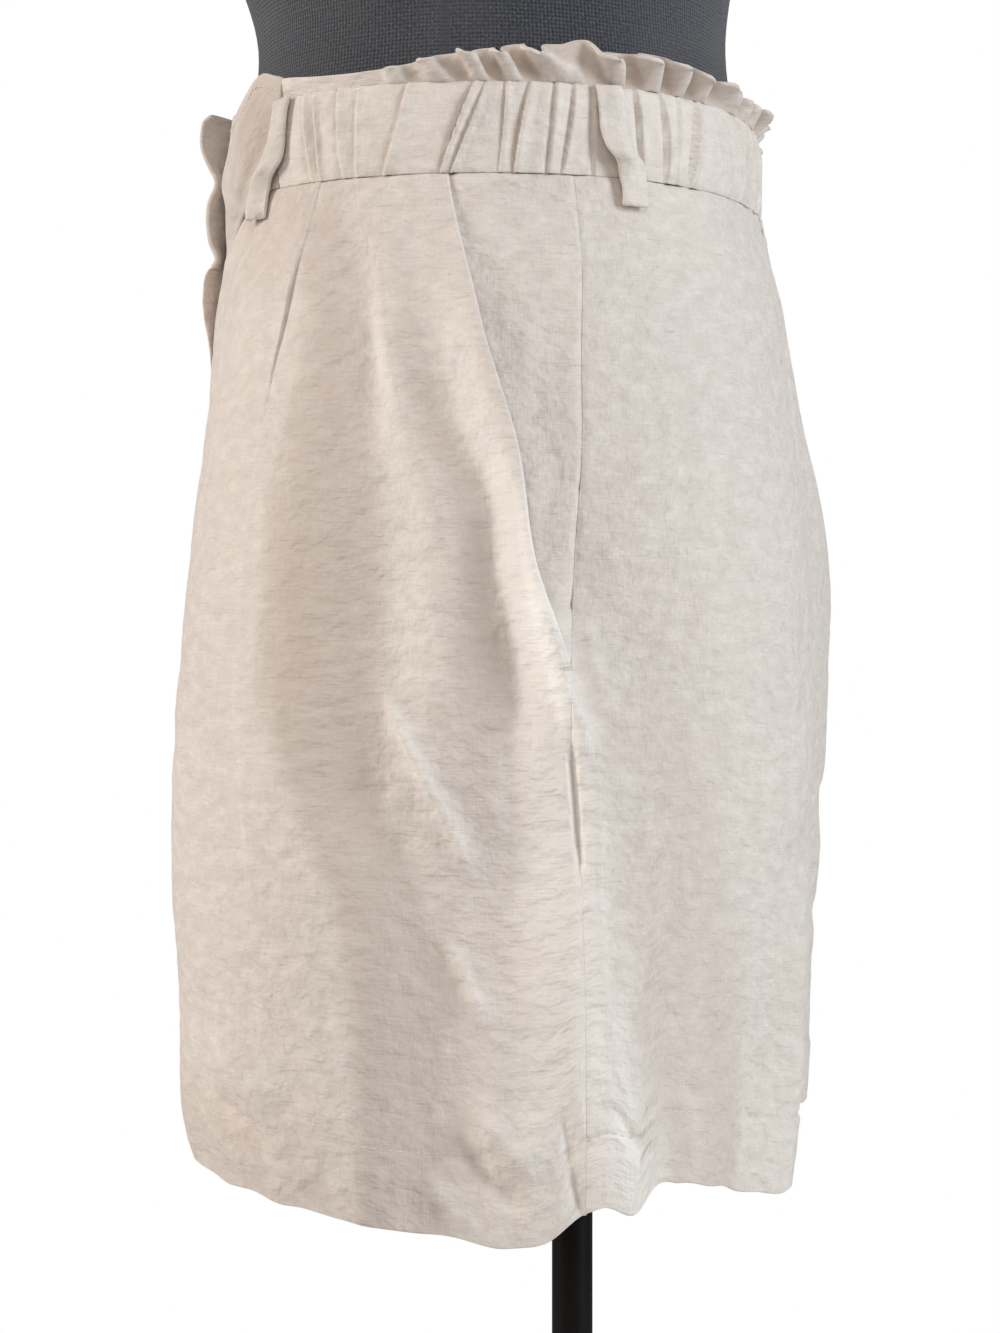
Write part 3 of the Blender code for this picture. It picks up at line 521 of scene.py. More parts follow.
def grid_faces(rows, columns, closed, flip=False):
    """Quads of a grid whose rows run down and whose columns run front to back; closed joins the last column
    to the first."""
    i = np.arange(rows - 1)[:, None] * columns
    j = np.arange(columns if closed else columns - 1)[None, :]
    k = (j + 1) % columns
    corners = np.broadcast_arrays(i + j, i + columns + j, i + columns + k, i + k)
    quads = np.stack(corners, axis=-1).reshape(-1, 4)
    return quads[:, ::-1] if flip else quads


def cloth_map(share, height, points=None):
    """The cloth's own map: metres along and up, clear of 0. Round the inner leg it follows the points' own
    distances."""
    share, height = np.broadcast_arrays(share, height)
    along = share * RING_SPAN
    if points is not None:
        along = np.clip(share, 0, 1) * RING_SPAN
        steps = np.linalg.norm(np.diff(points, axis=1), axis=-1)
        start, end = share[:, :-1], share[:, 1:]
        gap = np.maximum(end - start, 1e-9)
        before, after = (np.pad(np.cumsum(steps * np.clip(part / gap, 0, 1), axis=1), ((0, 0), (1, 0)))
                         for part in (-start, end - 1))
        along = along + before - before[:, -1:] + after
    return np.stack([along + 0.45, height - 0.5], axis=-1)


def finish_piece(obj, node, material):
    """Gives a piece its material and says what it rides on, replaces and is made of."""
    obj.data.materials.append(material)
    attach(obj, "root")
    if node:
        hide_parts(node)


def add_sheet(node, points, uv, linen, thickness=CLOTH, rounded=False, closed=False, flip=False, **marks):
    """The sheet of cloth for a CAD node, from a grid of points on its outer face, its thickness inwards. A
    rounded one has its edges smoothed by a subdivision."""
    faces = grid_faces(*points.shape[:2], closed=closed, flip=flip)
    obj = add_mesh(f"{node}_linen", points, faces, uv, **marks)
    wall = obj.modifiers.new("wall", "SOLIDIFY")
    wall.thickness, wall.offset, wall.use_even_offset = thickness, -1, False
    if rounded:
        soft = obj.modifiers.new("soft edges", "SUBSURF")
        soft.levels = soft.render_levels = 1
    finish_piece(obj, node, linen)


# ------------------------ panels


def panel_heights():
    """Rows from the waist seam to the hem. They crowd towards the crotch, where the sheet turns level."""
    upper = WAIST_SEAM - SEAM_GAP - spread(WAIST_SEAM - BACK_FORK, 80, finer_start=0.75)
    fork = CROTCH + (BACK_FORK - CROTCH) * (1 - np.sin(np.radians(np.linspace(3, 90, 56))))
    leg = CROTCH - 0.0012 - spread(CROTCH - 0.0012 - HEM_LINE - 0.005, 46, finer_start=0.3)[:-1]
    hem = np.linspace(HEM_LINE + 0.005, HEM_LINE - 0.004, 13)
    return np.concatenate([upper, fork, leg, hem, np.linspace(HEM_LINE - 0.0056, HEM + FOLD_RADIUS, 12)])


def at_heights(columns, side, heights):
    """What columns(side, height) gives, as arrays with a row for each height, and the heights last."""
    arrays = [np.array(part) for part in zip(*(columns(side, float(h)) for h in heights))]
    return *arrays, np.broadcast_to(heights[:, None], arrays[0].shape)


def seam_pull(distance, along, seed, depth=SEAM_TUCK):
    """How a seam moves the cloth near it: its edge is pulled in as a bell, and small puckers along it fade
    away from it over 7 mm."""
    distance = np.maximum(distance, 0)
    pucker = uneven(along, distance * 0.2, 0.0065, seed) * 0.00042 * np.exp(-distance / 0.006)
    return pucker * (1 - np.exp(-distance / 0.0008)) - depth * np.exp(-((distance / 0.0016) ** 2))


def waist_pull(share, height, seed):
    """The same along the waist seam."""
    return seam_pull(np.abs(WAIST_SEAM - height), share * RING_SPAN, seed, WAIST_TUCK)


def side_seam_depth(side, height):
    """The side seam is drawn in deeper for 45 mm below the pocket, where the bartack pulls on it."""
    below = SEAM_DRAWN[side] - height
    return SEAM_TUCK + 0.0022 * ease(below / 0.012) * ease((0.056 - below) / 0.016)


def pleat_fold(distance, height):
    """(out, along) of the knife pleat at a signed distance from its folded edge, towards the back. The upper
    layer rises to the edge and hangs over it; the lower one starts inside the fold and comes up behind."""
    strength = 0.30 + 0.70 * ease((1.006 - height) / 0.030)
    strength = strength * (0.25 + 0.75 * ease((height - 0.925) / 0.050)) * ease((height - 0.875) / 0.050)
    far = np.abs(distance)
    crisp = 0.00042 + 0.0030 * ease((0.945 - height) / 0.060)
    over = 0.5 * (1 - np.tanh(distance / crisp))
    out = over * 0.0013 * np.exp(-far / 0.016) - (1 - over) * 0.0007 * np.exp(-far / 0.010)
    return out * strength, -0.0006 * np.tanh(distance / crisp) * np.exp(-far / 0.0045) * strength


def mouth_lift(distance, height):
    """The pocket mouth's edge stands proud of the facing, most at its middle, as a slope 26 mm wide."""
    lift = 0.0006 + ease((1.012 - height) / 0.080) * ease((height - 0.822) / 0.035)
    slope = 0.0034 * np.exp(-((distance / 0.019) ** 1.6)) + 0.0022 * np.exp(-((distance / 0.0065) ** 2))
    return lift * slope


def front_columns(side, height):
    """Places along the front panel, from the inner seam: (share, distance to the pleat, distance to the
    outer edge, distance to the seam), as many at every height. Round the inner leg they keep to fixed
    shares."""
    line = "mouth" if height > POCKET_BOTTOM else "side_seam"
    fine, run = run_along(side, height, -1.0, column(LINES, line, height))
    bend, pleat = np.interp([0.0, column(LINES, "pleat", height)], fine, run)
    last = run[-1] - SEAM_GAP
    turn = bend + BEND_REACH
    inner = SEAM_GAP + spread(turn - SEAM_GAP, 32, finer_start=0.6)[:-1]
    round_leg = np.interp(-1 + spread(1.0, 21, finer_start=0.6), fine, run)
    level = np.concatenate([np.maximum(round_leg, SEAM_GAP), bend + np.linspace(0, BEND_REACH, 12)[1:-1]])
    inner = inner + (level - inner) * ease((0.85 - height) / 0.05)
    middle = turn + spread(pleat - turn, 42, finer_end=0.82)[:-1]
    runs = np.concatenate([inner, middle, pleat + spread(last - pleat, 112, finer_start=0.6, finer_end=0.6)])
    return np.interp(runs, run, fine), runs - pleat, last - runs, runs - SEAM_GAP


def back_columns(side, height):
    """The same along the back panel: (share, distance to the side seam, distance to the inner seam)."""
    fine, run = run_along(side, height, column(LINES, "side_seam", height), 2.0)
    last = run[-1] - SEAM_GAP
    turn = np.interp(1.0, fine, run) - BEND_REACH
    outer = SEAM_GAP + spread(turn - SEAM_GAP, 72, finer_start=0.8)[:-1]
    inner = turn + spread(last - turn, 46, finer_end=0.6)
    round_leg = np.minimum(np.interp(1 + spread(1.0, 34, finer_end=0.6), fine, run), last)
    level = np.concatenate([turn + np.linspace(0, BEND_REACH, 13)[:-1], round_leg])
    runs = np.concatenate([outer, inner + (level - inner) * ease((0.88 - height) / 0.05)])
    return np.interp(runs, run, fine), runs - SEAM_GAP, last - runs


def facing_columns(side, height):
    """(share, distance to the side seam) from under the edge of the pocket mouth to the side seam."""
    seam = column(LINES, "side_seam", height)
    fine, run = run_along(side, height, min(column(LINES, "mouth", height), seam) - 0.030, seam)
    runs = spread(run[-1] - SEAM_GAP, 44, finer_end=0.8)
    return np.interp(runs, run, fine), run[-1] - SEAM_GAP - runs


def hem_columns(side, height):
    """Shares all round the leg."""
    fine, run = run_along(side, height, -1.0, 2.0)
    return (np.interp(np.linspace(0, run[-1], 240, endpoint=False), run, fine),)


def add_panel(node, side, share, height, out, along, worn, linen):
    """Finishes a panel with the rows that roll its foot under, round a small half circle."""
    turned = np.radians(np.linspace(15, 165, 6))[:, None]
    below = ((0, len(turned)), (0, 0))
    share, height, out, along = (np.pad(a, below, "edge") for a in (share, height, out, along))
    out[-len(turned):] -= FOLD_RADIUS * (1 - np.cos(turned))
    low = np.zeros_like(out)
    low[-len(turned):] = FOLD_RADIUS * np.sin(turned)
    points = placed(side, share, height, out, along, low)
    add_sheet(node, points, cloth_map(share, height - low, points), linen, flip=side == "right",
              worn=np.pad(worn, below, constant_values=1), dull=falling(side, share, height))


def add_front_panel(side, linen):
    """A front panel: the ring's front stretch with the pleat, the proud folded edge at the pocket mouth and
    the rolled foot at the hem."""
    share, to_pleat, to_edge, to_inner, height = at_heights(front_columns, side, panel_heights())
    mouth = ease((height - POCKET_BOTTOM) / 0.004)
    seed = 30 if side == "left" else 40
    pleat_out, along = pleat_fold(to_pleat, height)
    out = relief(side, share, height) + pleat_out + mouth * mouth_lift(to_edge, height)
    out = out + (1 - mouth) * seam_pull(to_edge, height, seed, side_seam_depth(side, height))
    out = out + seam_pull(to_inner, height, seed + 1) + waist_pull(share, height, seed + 2)
    # The edge of the mouth turns under: the last columns go round a small circle.
    turned = np.radians(np.linspace(20, 170, 7))
    beside = ((0, 0), (0, len(turned)))
    share, height, out, along = (np.pad(a, beside, "edge") for a in (share, height, out, along))
    out[:, -len(turned):] -= FOLD_RADIUS * (1 - np.cos(turned))
    along[:, -len(turned):] = FOLD_RADIUS * np.sin(turned) * (0.15 + 0.85 * mouth[:, -1:])
    worn = np.pad(0.7 * np.exp(-np.abs(to_pleat) / 0.0015), beside, constant_values=1)
    add_panel(f"{side}_front", side, share, height, out, along, worn, linen)


def waist_gather(side, share, height):
    """Under the gathered casing the tucks run on into the panel and fade out over 18 mm."""
    fade = np.exp(-(WAIST_SEAM - height) / 0.009) * ease((share - 0.60) / 0.08)
    return 0.0011 * fade * uneven(share * RING_SPAN, height * 0.15, 0.0075, 71 + (side == "right"))


def add_back_panel(side, linen):
    """A back panel: plain round the seat, with seams at both sides and the rolled foot."""
    share, to_side, to_inner, height = at_heights(back_columns, side, panel_heights())
    seed = 50 if side == "left" else 60
    out = relief(side, share, height) + seam_pull(to_side, height, seed, side_seam_depth(side, height))
    out = out + seam_pull(to_inner, height, seed + 1) + waist_pull(share, height, seed + 2)
    out = out + waist_gather(side, share, height)
    worn = 0.6 * np.exp(-to_side / 0.002)
    add_panel(f"{side}_back", side, share, height, out, np.zeros_like(out), worn, linen)


def add_pocket_facing(side, linen):
    """The panel behind the slanted mouth: it starts under the front panel's edge and comes up flush at the
    side seam."""
    heights = panel_heights()
    share, to_seam, height = at_heights(facing_columns, side, heights[heights > POCKET_BOTTOM - 0.006])
    seed = 80 if side == "left" else 85
    seated = ease((share - column(LINES, "mouth", height)) / 0.012) * ease((height - 1.008) / 0.012)
    out = FACING_OUT * ease(to_seam / 0.016) * (1 - 0.9 * seated) + relief(side, share, height)
    out = out - 0.0016 * ease((POCKET_BOTTOM + 0.012 - height) / 0.014)
    out = out + creased(share, height, FACING_CREASES)
    out = out + seam_pull(to_seam, height, seed) + waist_pull(share, height, seed + 1)
    add_sheet(f"{side}_pocket_facing", placed(side, share, height, out), cloth_map(share, height), linen,
              flip=side == "right", worn=0.6 * np.exp(-to_seam / 0.002))


def add_hem(side, linen):
    """The turned-up hem inside the foot of the leg: a closed band, its upper edge stitched down."""
    share, height = at_heights(hem_columns, side, HEM + 0.0008 + spread(HEM_DEPTH - 0.0008, 16)[::-1])
    belly = 0.0004 * np.sin(math.pi * (height - HEM) / HEM_DEPTH)
    points = placed(side, share, height, relief(side, share, height) - (FOLD_RADIUS + 0.0009) - belly)
    add_sheet(f"{side}_hem", points, cloth_map(share, height + 0.2, points), linen, closed=True,
              flip=side == "right")


# ------------------------ waistband


def tucked(side, share, height):
    """The gathered casing: along each tuck's slanting line the cloth dips, then steps up to a narrow lip
    that falls away towards the back."""
    up = (height - WAIST_SEAM) / (CASING_TOP - WAIST_SEAM)
    shift = 0.0 if side == "left" else 0.011
    out = uneven(share * RING_SPAN, height * 0.4, 0.011, 91 + (side == "right")) * 0.0009
    for number, t in enumerate(TUCKS):
        wobble = 0.0008 * math.sin(2.1 * number) * np.sin(math.pi * up)
        place = t["share_foot"] + (t["share_top"] - t["share_foot"]) * up + shift * math.sin(1.7 * number)
        off = (share - place) * RING_SPAN - wobble
        lip = np.exp(-((off / np.where(off > 0, t["width"], 0.00035)) ** 2))
        dip = np.exp(-np.abs(off + 0.0007) / 0.0011)
        fade = 0.55 + 0.45 * np.abs(np.sin(1.3 * number + 1.8 * up))
        out = out + t["height"] * (2.3 * lip - 1.8 * dip) * fade
    return out


def casing_puff(height):
    """The casing stands out between its two lines of stitching: 1 - |2w - 1|^3 of its height."""
    w = np.clip((height - WAIST_SEAM) / (CASING_TOP - WAIST_SEAM), 0, 1)
    return 0.0016 * (1 - np.abs(2 * w - 1) ** 3)


def round_the_back(shares, ups, build):
    """Joins the left half's columns to the right half's, seen from the left front loop round the back to the
    right one. build makes one half's points, heights for its map and marks, from side, share and up."""
    halves = []
    for side in ("left", "right"):
        share, up = np.meshgrid(shares, ups)
        points, tall, *marks = build(side, share, up)
        across = share if side == "left" else 2 - share
        halves.append((points, cloth_map(across, tall), *marks))
    return [np.concatenate([a, b[:, ::-1][:, 1:]], axis=1) for a, b in zip(*halves)]


def add_waistband_back(linen):
    """The gathered casing from loop to loop round the back. Its first rows turn its top edge in."""
    rows = np.concatenate([[-0.0022, -0.0012, 0.0], spread(1.0, 26, 0.6, 0.6)])
    turned = np.clip(-rows, 0, 1)[:, None]

    def build(side, share, up):
        height = WAIST_SEAM + SEAM_GAP + (CASING_TOP - WAIST_SEAM - SEAM_GAP) * up
        grown = np.sin(math.pi * np.clip(up, 0.02, 0.98)) ** 0.35 * ease((share - FLAT_BAND_END) / 0.012)
        out = casing_puff(height) + tucked(side, share, height) * grown
        out = out + waist_pull(share, height, 95) - turned
        return placed(side, share, height, out, low=-turned * 0.15), height, np.exp(-(1 - up) / 0.06) * 0.5

    shares = np.linspace(FLAT_BAND_END + 0.0012, 1.0, 430)
    points, uv, worn = round_the_back(shares, 1 - np.clip(rows, 0, 1), build)
    add_sheet("waistband_back", points, uv, linen, worn=worn)


def frill_wave(side, run):
    """(phase, size, lean, roll) of the frill's ruffles: they are 12 to 30 mm long, some bigger than others,
    each leans its own way, and some roll over outwards."""
    phase, size, lean, roll = (
        uneven(run, 0 * run + shift, length, 101 + (side == "right"))
        for shift, length in ((0.0, 0.030), (0.05, 0.024), (0.10, 0.034), (0.15, 0.022))
    )
    return (2 * math.pi * run / 0.0190 + 4.2 * phase, 1.0 + 0.75 * size, 3.2 + 2.4 * lean,
            np.clip(0.45 + 1.1 * roll, 0, 1))


def add_header_frill(linen):
    """The doubled edge above the casing: a low strip in front of the pocket, and from there round the back a
    gathered ruffle. Its ruffles slant: their phase is 2 pi run / 19 mm, which wanders, + lean * t. Across
    the casing's line they stand out by A cos(phase) with A growing with the height t, and along it they
    meander by B t^0.7 sin(2 phase), so that each leans over the hollow beside it. Their upper edges droop by
    t^3 at the crests, most where they roll over."""

    def build(side, share, t):
        full = ease((share - 0.40) / 0.10)
        calm = full * (1 - 0.30 * ease((share - 0.84) / 0.08))
        run = share * RING_SPAN
        phase, size, lean, roll = frill_wave(side, run)
        phase = phase + lean * t * calm
        tall = column(FRILL_TOPS, "top", share) - CASING_TOP + 0.0006
        tall = tall * (1 + calm * 0.14 * uneven(run, 0 * t, 0.009, 97))
        crest = 0.5 + 0.5 * np.cos(phase)
        crumple = 0.0012 * uneven(run, 0.012 * t, 0.0055, 98) * np.sqrt(t) * full
        out = calm * size * (0.0006 + 0.0042 * t**0.8) * np.cos(phase) + 0.0012 * t + crumple
        out = out + calm * crest * (0.0034 + 0.0034 * roll) * np.sin(0.60 * math.pi * t)
        up = tall * (t - (0.16 + 0.48 * roll) * calm * crest * t**3)
        along = t**0.7 * calm * size * 0.0024 * np.sin(2 * phase)
        points = placed(side, share, CASING_TOP, out, along, low=0.0006 - up)
        # Painted shade: a little over the full ruffle, most in the hollows between its ruffles.
        hollow = full * (0.25 + 0.75 * ease((0.3 - np.cos(phase)) / 0.9))
        return points, CASING_TOP + t * 0.014, 0.30 * ease((t - 0.85) / 0.15), hollow

    shares = np.linspace(FLAT_BAND_END + 0.002, 1.0, 310)
    points, uv, worn, dull = round_the_back(shares, np.linspace(1, 0, 10), build)
    add_sheet("header_frill", points, uv, linen, FRILL_WALL, rounded=True, worn=worn, dull=dull)


def lapped(place, height, out):
    """Points of the front by their place across it: negative on the right side, positive on the left."""
    left = placed("left", np.maximum(place, 0), height, out)
    right = placed("right", np.maximum(-place, 0), height, out)
    return np.where((place < 0)[..., None], right, left)


def band_relief(side, share, height):
    """How crumpled the flat front band is."""
    return creased(share, height, BAND_CREASES) + crumpled(side, share, height)


def lapped_relief(place, height):
    """The same by the place across the front."""
    return np.where(place < 0, band_relief("right", -place, height), band_relief("left", place, height))


def flare(height, place, rise):
    """How much further than `rise` the overlap stands out: it grows to its free edge as place^1.5."""
    edge = column(FREE_EDGE, "stand_off", height)
    return np.maximum(edge - rise, 0.0) * np.clip(place / OVERLAP_END, 0, 1) ** 1.5


def add_flat_bands(linen):
    """The two ends of the flat front band, from the seam to the top edge. The right one climbs over the
    hooks and flares at its end."""
    before = 0.016  # where the columns crowd, ahead of the hooks
    for side, places in (
        ("left", 0.0012 + spread(FLAT_BAND_END - 0.0012, 62)),
        ("right", np.concatenate([-FLAT_BAND_END + spread(FLAT_BAND_END - before, 56)[:-1],
                                  -before + spread(OVERLAP_END + before, 36)])),
    ):
        place, up = np.meshgrid(places, 1 - spread(1.0, 34, 0.5, 0.5))
        foot = WAIST_SEAM + SEAM_GAP
        height = foot + (column(BAND_TOPS, "top", np.abs(place)) - foot) * up
        bulge = np.sin(math.pi * np.clip(up, 0, 1))
        out = lapped_relief(place, height) * (0.4 + 0.6 * bulge**0.5) + 0.0009 * bulge**0.6
        if side == "right":
            out = out * (1 - ease((place + 0.010) / 0.020) * 0.6) + BAND_RISE * ease((place + 0.014) / 0.014)
            out = out + flare(height, place, BAND_RISE)
        # Painted shade: the band's ends darken towards the loops, a little less near the top edge.
        dull = 1.1 * ease((np.abs(place) - 0.10) / 0.17) * (1 - 0.4 * ease((up - 0.75) / 0.2))
        add_sheet(f"waistband_{side}_front", lapped(place, height, out), cloth_map(place, height), linen,
                  DOUBLE, rounded=True, worn=0.7 * ease((up - 0.94) / 0.06), dull=dull)


def add_fly_overlap(linen):
    """The fly strip lies on the panels; its free edge swells out between the places where it is held."""
    heights = WAIST_SEAM - SEAM_GAP - spread(WAIST_SEAM - FLY_BOTTOM - SEAM_GAP, 76, 0.5)[:, None]
    start = FLY_TAPER * ease((0.915 - heights) / 0.045) - FLY_START
    place = start + (OVERLAP_END - start) * np.linspace(0, 1, 26)
    height = np.broadcast_to(heights, place.shape)
    out = FLY_RISE + flare(height, place, FLY_RISE) + 0.7 * lapped_relief(place, height)
    add_sheet("fly_overlap", lapped(place, height, out), cloth_map(place, height), linen, rounded=True,
              worn=0.7 * np.exp(-(OVERLAP_END - place) / 0.004))


def add_loop(side, place, linen):
    """A belt loop: a strip 12 mm wide, its long edges folded round, that stands off the casing, kinks where
    it has slipped and is sewn down at its foot."""
    share = FRONT_LOOP if place == "front" else SIDE_LOOP
    length = LOOP["down"][-1]
    down = spread(length, 46)[:, None]
    half, thick = LOOP_WIDTH / 2 - FOLD_RADIUS, FOLD_RADIUS * 0.9
    flat, turn = np.linspace(-half, half, 9), np.linspace(-math.pi / 2, math.pi / 2, 7)[1:-1]
    # The cross-section: over the outer face, round one edge, under, and round the other.
    edge = half + FOLD_RADIUS * np.cos(turn)
    across = np.concatenate([flat, edge[::-1], flat[::-1], -edge])
    off = thick * np.concatenate([np.ones(9), np.sin(turn)[::-1], -np.ones(9), np.sin(turn)])
    out = column(LOOP, "out", down)
    pinch = 1 - 0.45 * np.exp(-((np.minimum(down, length - down) / 0.0012) ** 2))
    bend = 0.0007 * np.sin(across / half * 2.2 + 60 * down)
    seed = 120 + (side == "right") * 2 + (place == "side")
    along = column(LOOP, f"{place}_shift", down) + across * (1 - 0.05 * uneven(down, 0 * down, 0.008, seed))
    height = LOOP_TOP - down + 0 * across
    if place == "front":
        out = 0.45 * out + 0.7 * creased(share + along / RING_SPAN, height, BAND_CREASES)
    lift = out + thick + off * pinch + bend + 0.0003 * uneven(down, across, 0.006, seed)
    points = placed(side, share, height, lift + casing_puff(height), along)
    obj = add_mesh(f"loop_{side}_{place}_linen", points,
                   grid_faces(*height.shape, closed=True, flip=side == "left"),
                   cloth_map(share + along / RING_SPAN, height),
                   worn=0.9 * np.exp(-(half + FOLD_RADIUS - np.abs(across) + 0 * down) / 0.0012))
    # Its two ends are closed.
    mesh = bmesh.new()
    mesh.from_mesh(obj.data)
    bmesh.ops.holes_fill(mesh, edges=[e for e in mesh.edges if e.is_boundary], sides=0)
    bmesh.ops.recalc_face_normals(mesh, faces=mesh.faces)
    mesh.to_mesh(obj.data)
    mesh.free()
    finish_piece(obj, f"loop_{side}_{place}", linen)


# ------------------------ stitches


def stitch_line(points, normals, length, space, thick):
    """Stitches along a line: low six-sided capsules, one every length + space, half sunk in the cloth."""
    run = np.concatenate([[0], np.cumsum(np.linalg.norm(np.diff(points, axis=0), axis=1))])
    count = int(run[-1] / (length + space))
    starts = (np.arange(count)[:, None] + 0.5) * (length + space)
    at = (starts + length * np.array([0.0, 0.5, 1.0])).clip(0, run[-1])
    centre, normal = (np.stack([np.interp(at, run, line[:, k]) for k in range(3)], axis=-1)
                      for line in (points, normals))
    heading = centre[:, 2:] - centre[:, :1]
    heading = heading / np.maximum(np.linalg.norm(heading, axis=-1, keepdims=True), 1e-9)
    side = np.cross(normal, heading)[:, :, None]
    angle = np.linspace(0, 2 * math.pi, 6, endpoint=False)[:, None]
    size, lift = thick * np.array([[0.45, 1.0, 0.45], [-0.4, 0.35, -0.4]])[:, :, None]
    rings = (centre + normal * lift)[:, :, None] + size[:, None] * (np.cos(angle) * side
                                                                    + np.sin(angle) * normal[:, :, None])
    ends = np.array([[5, 4, 3, 2], [5, 2, 1, 0], [12, 13, 14, 15], [12, 15, 16, 17]])
    first = np.arange(count)[:, None, None] * 18  # each capsule has three rings of six points
    faces = [(first + quads).reshape(-1, 4) for quads in (grid_faces(3, 6, closed=True), ends)]
    return rings.reshape(-1, 3), np.concatenate(faces)


def add_stitch_lines(name, lines, thread, length=0.0024, space=0.0011, thick=0.00028):
    """Joins several stitch lines into one piece. Each line is (side, share, height, out) on the cloth."""
    points, faces, total = [], [], 0
    for side, share, height, out in lines:
        at, beyond = placed(side, share, height, out), placed(side, share, height, out + 1e-3)
        p, f = stitch_line(at, (beyond - at) / 1e-3, length, space, thick)
        points.append(p)
        faces.append(f + total)
        total += len(p)
    finish_piece(add_mesh(name, np.concatenate(points), np.concatenate(faces)), None, thread)


def add_stitches(thread):
    """The hems' and the flat band's stitching, and the bartacks at the loops' feet and pocket mouths."""
    tacks = []
    for side in ("left", "right"):
        share = np.linspace(-0.98, 1.98, 700)
        out = relief(side, share, np.full_like(share, HEM_LINE)) + 0.0001
        add_stitch_lines(f"{side}_hem_stitches", [(side, share, HEM_LINE, out)], thread)
        share = np.linspace(0.060, FLAT_BAND_END - 0.004, 200)
        top = column(BAND_TOPS, "top", share) - 0.006
        out = band_relief(side, share, top) + 0.0006
        add_stitch_lines(f"{side}_band_stitches", [(side, share, top, out)], thread)
    for side in ("left", "right"):
        for place, share in (("front", FRONT_LOOP), ("side", SIDE_LOOP)):
            middle = share + LOOP[f"{place}_shift"][-1] / RING_SPAN
            across = np.linspace(-0.0045, 0.0045, 12) / RING_SPAN + middle
            for rise in (0.0022, 0.0030):
                tall = LOOP_TOP - LOOP["down"][-1] + rise
                tacks.append((side, across, tall, np.full_like(across, 0.0036)))
        across = np.linspace(-0.0050, 0.0005, 10) / RING_SPAN + POCKET_FOOT
        for rise in (0.0, 0.0008):
            tall = np.full_like(across, POCKET_BOTTOM + 0.004 + rise)
            tacks.append((side, across, tall, relief(side, across, tall) + 0.0012))
    add_stitch_lines("tack_stitches", tacks, thread, length=0.0011, space=0.0002, thick=0.00030)


# ------------------------ dress form and stand


def add_form(knit):
    """The torso: ovals through the form's sections, drawn in along its seams, and closed above and below."""
    low, high = FORM["height"][0], FORM["height"][-1]
    heights = np.concatenate([[low, low + 0.0006, low + 0.0022],
                              low + 0.004 + spread(high - low - 0.005, 130, 0.4), [high - 0.0004, high]])
    angles = np.linspace(0, 2 * math.pi, 180, endpoint=False)
    wide, front, back = (column(FORM, name, heights)[:, None] for name in ("half_width", "front", "back"))
    middle, half = (front + back) / 2, (back - front) / 2
    # Seams: centre back, both sides and the two princess lines in front.
    dent = 0.0
    for seam in (math.pi / 2, 0.0, math.pi, -math.pi / 2 - 0.62, -math.pi / 2 + 0.62):
        off = np.angle(np.exp(1j * (angles - seam))) * 0.13
        dent = dent + 0.0007 * np.exp(-((off / 0.0012) ** 2)) - 0.00025 * np.exp(-((off / 0.004) ** 2))
    points = np.stack(together((wide - dent) * np.cos(angles), middle + (half - dent) * np.sin(angles),
                               heights[:, None]), axis=-1)
    inwards = np.array([0.02, 0.5, 0.999])[:, None, None]
    rim_low, rim_high = (
        edge + (np.array([0, centre[0], height]) - edge) * inwards
        for edge, centre, height in ((points[:1], middle[0], low), (points[-1:], middle[-1], high))
    )
    points = np.concatenate([rim_low[::-1], points, rim_high])
    run = np.broadcast_to(angles / (2 * math.pi) * 0.86, points.shape[:2])
    obj = add_mesh("form_knit_cover", points, grid_faces(*points.shape[:2], closed=True, flip=True),
                   np.stack([run, points[..., 2] - 0.75], axis=-1))
    finish_piece(obj, "form_body", knit)


def add_turned(name, node, material, edge, steps=6, around=96):
    """A disc or rod in a CAD node's box, its edges rounded: its profile goes round a vertical axis, from its
    underside's centre to its top's centre."""
    low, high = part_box(node)
    inner, turn = high.x - edge, np.linspace(0, math.pi / 2, steps)
    foot = np.stack([inner + edge * np.sin(turn), low.z + edge - edge * np.cos(turn)], axis=1)
    head = np.stack([inner + edge * np.cos(turn), high.z - edge + edge * np.sin(turn)], axis=1)
    radius, height = np.concatenate([[(1e-5, low.z), (high.x * 0.6, low.z)], foot, head,
                                     [(high.x * 0.6, high.z), (1e-5, high.z)]]).T[:, :, None]
    angle = np.linspace(0, 2 * math.pi, around, endpoint=False)
    x, y = radius * np.cos(angle), radius * np.sin(angle) + (low.y + high.y) / 2
    points = np.stack(together(x, y, height), axis=-1)
    obj = add_mesh(name, points, grid_faces(len(radius), around, closed=True, flip=True))
    finish_piece(obj, node, material)


# ------------------------ finishes


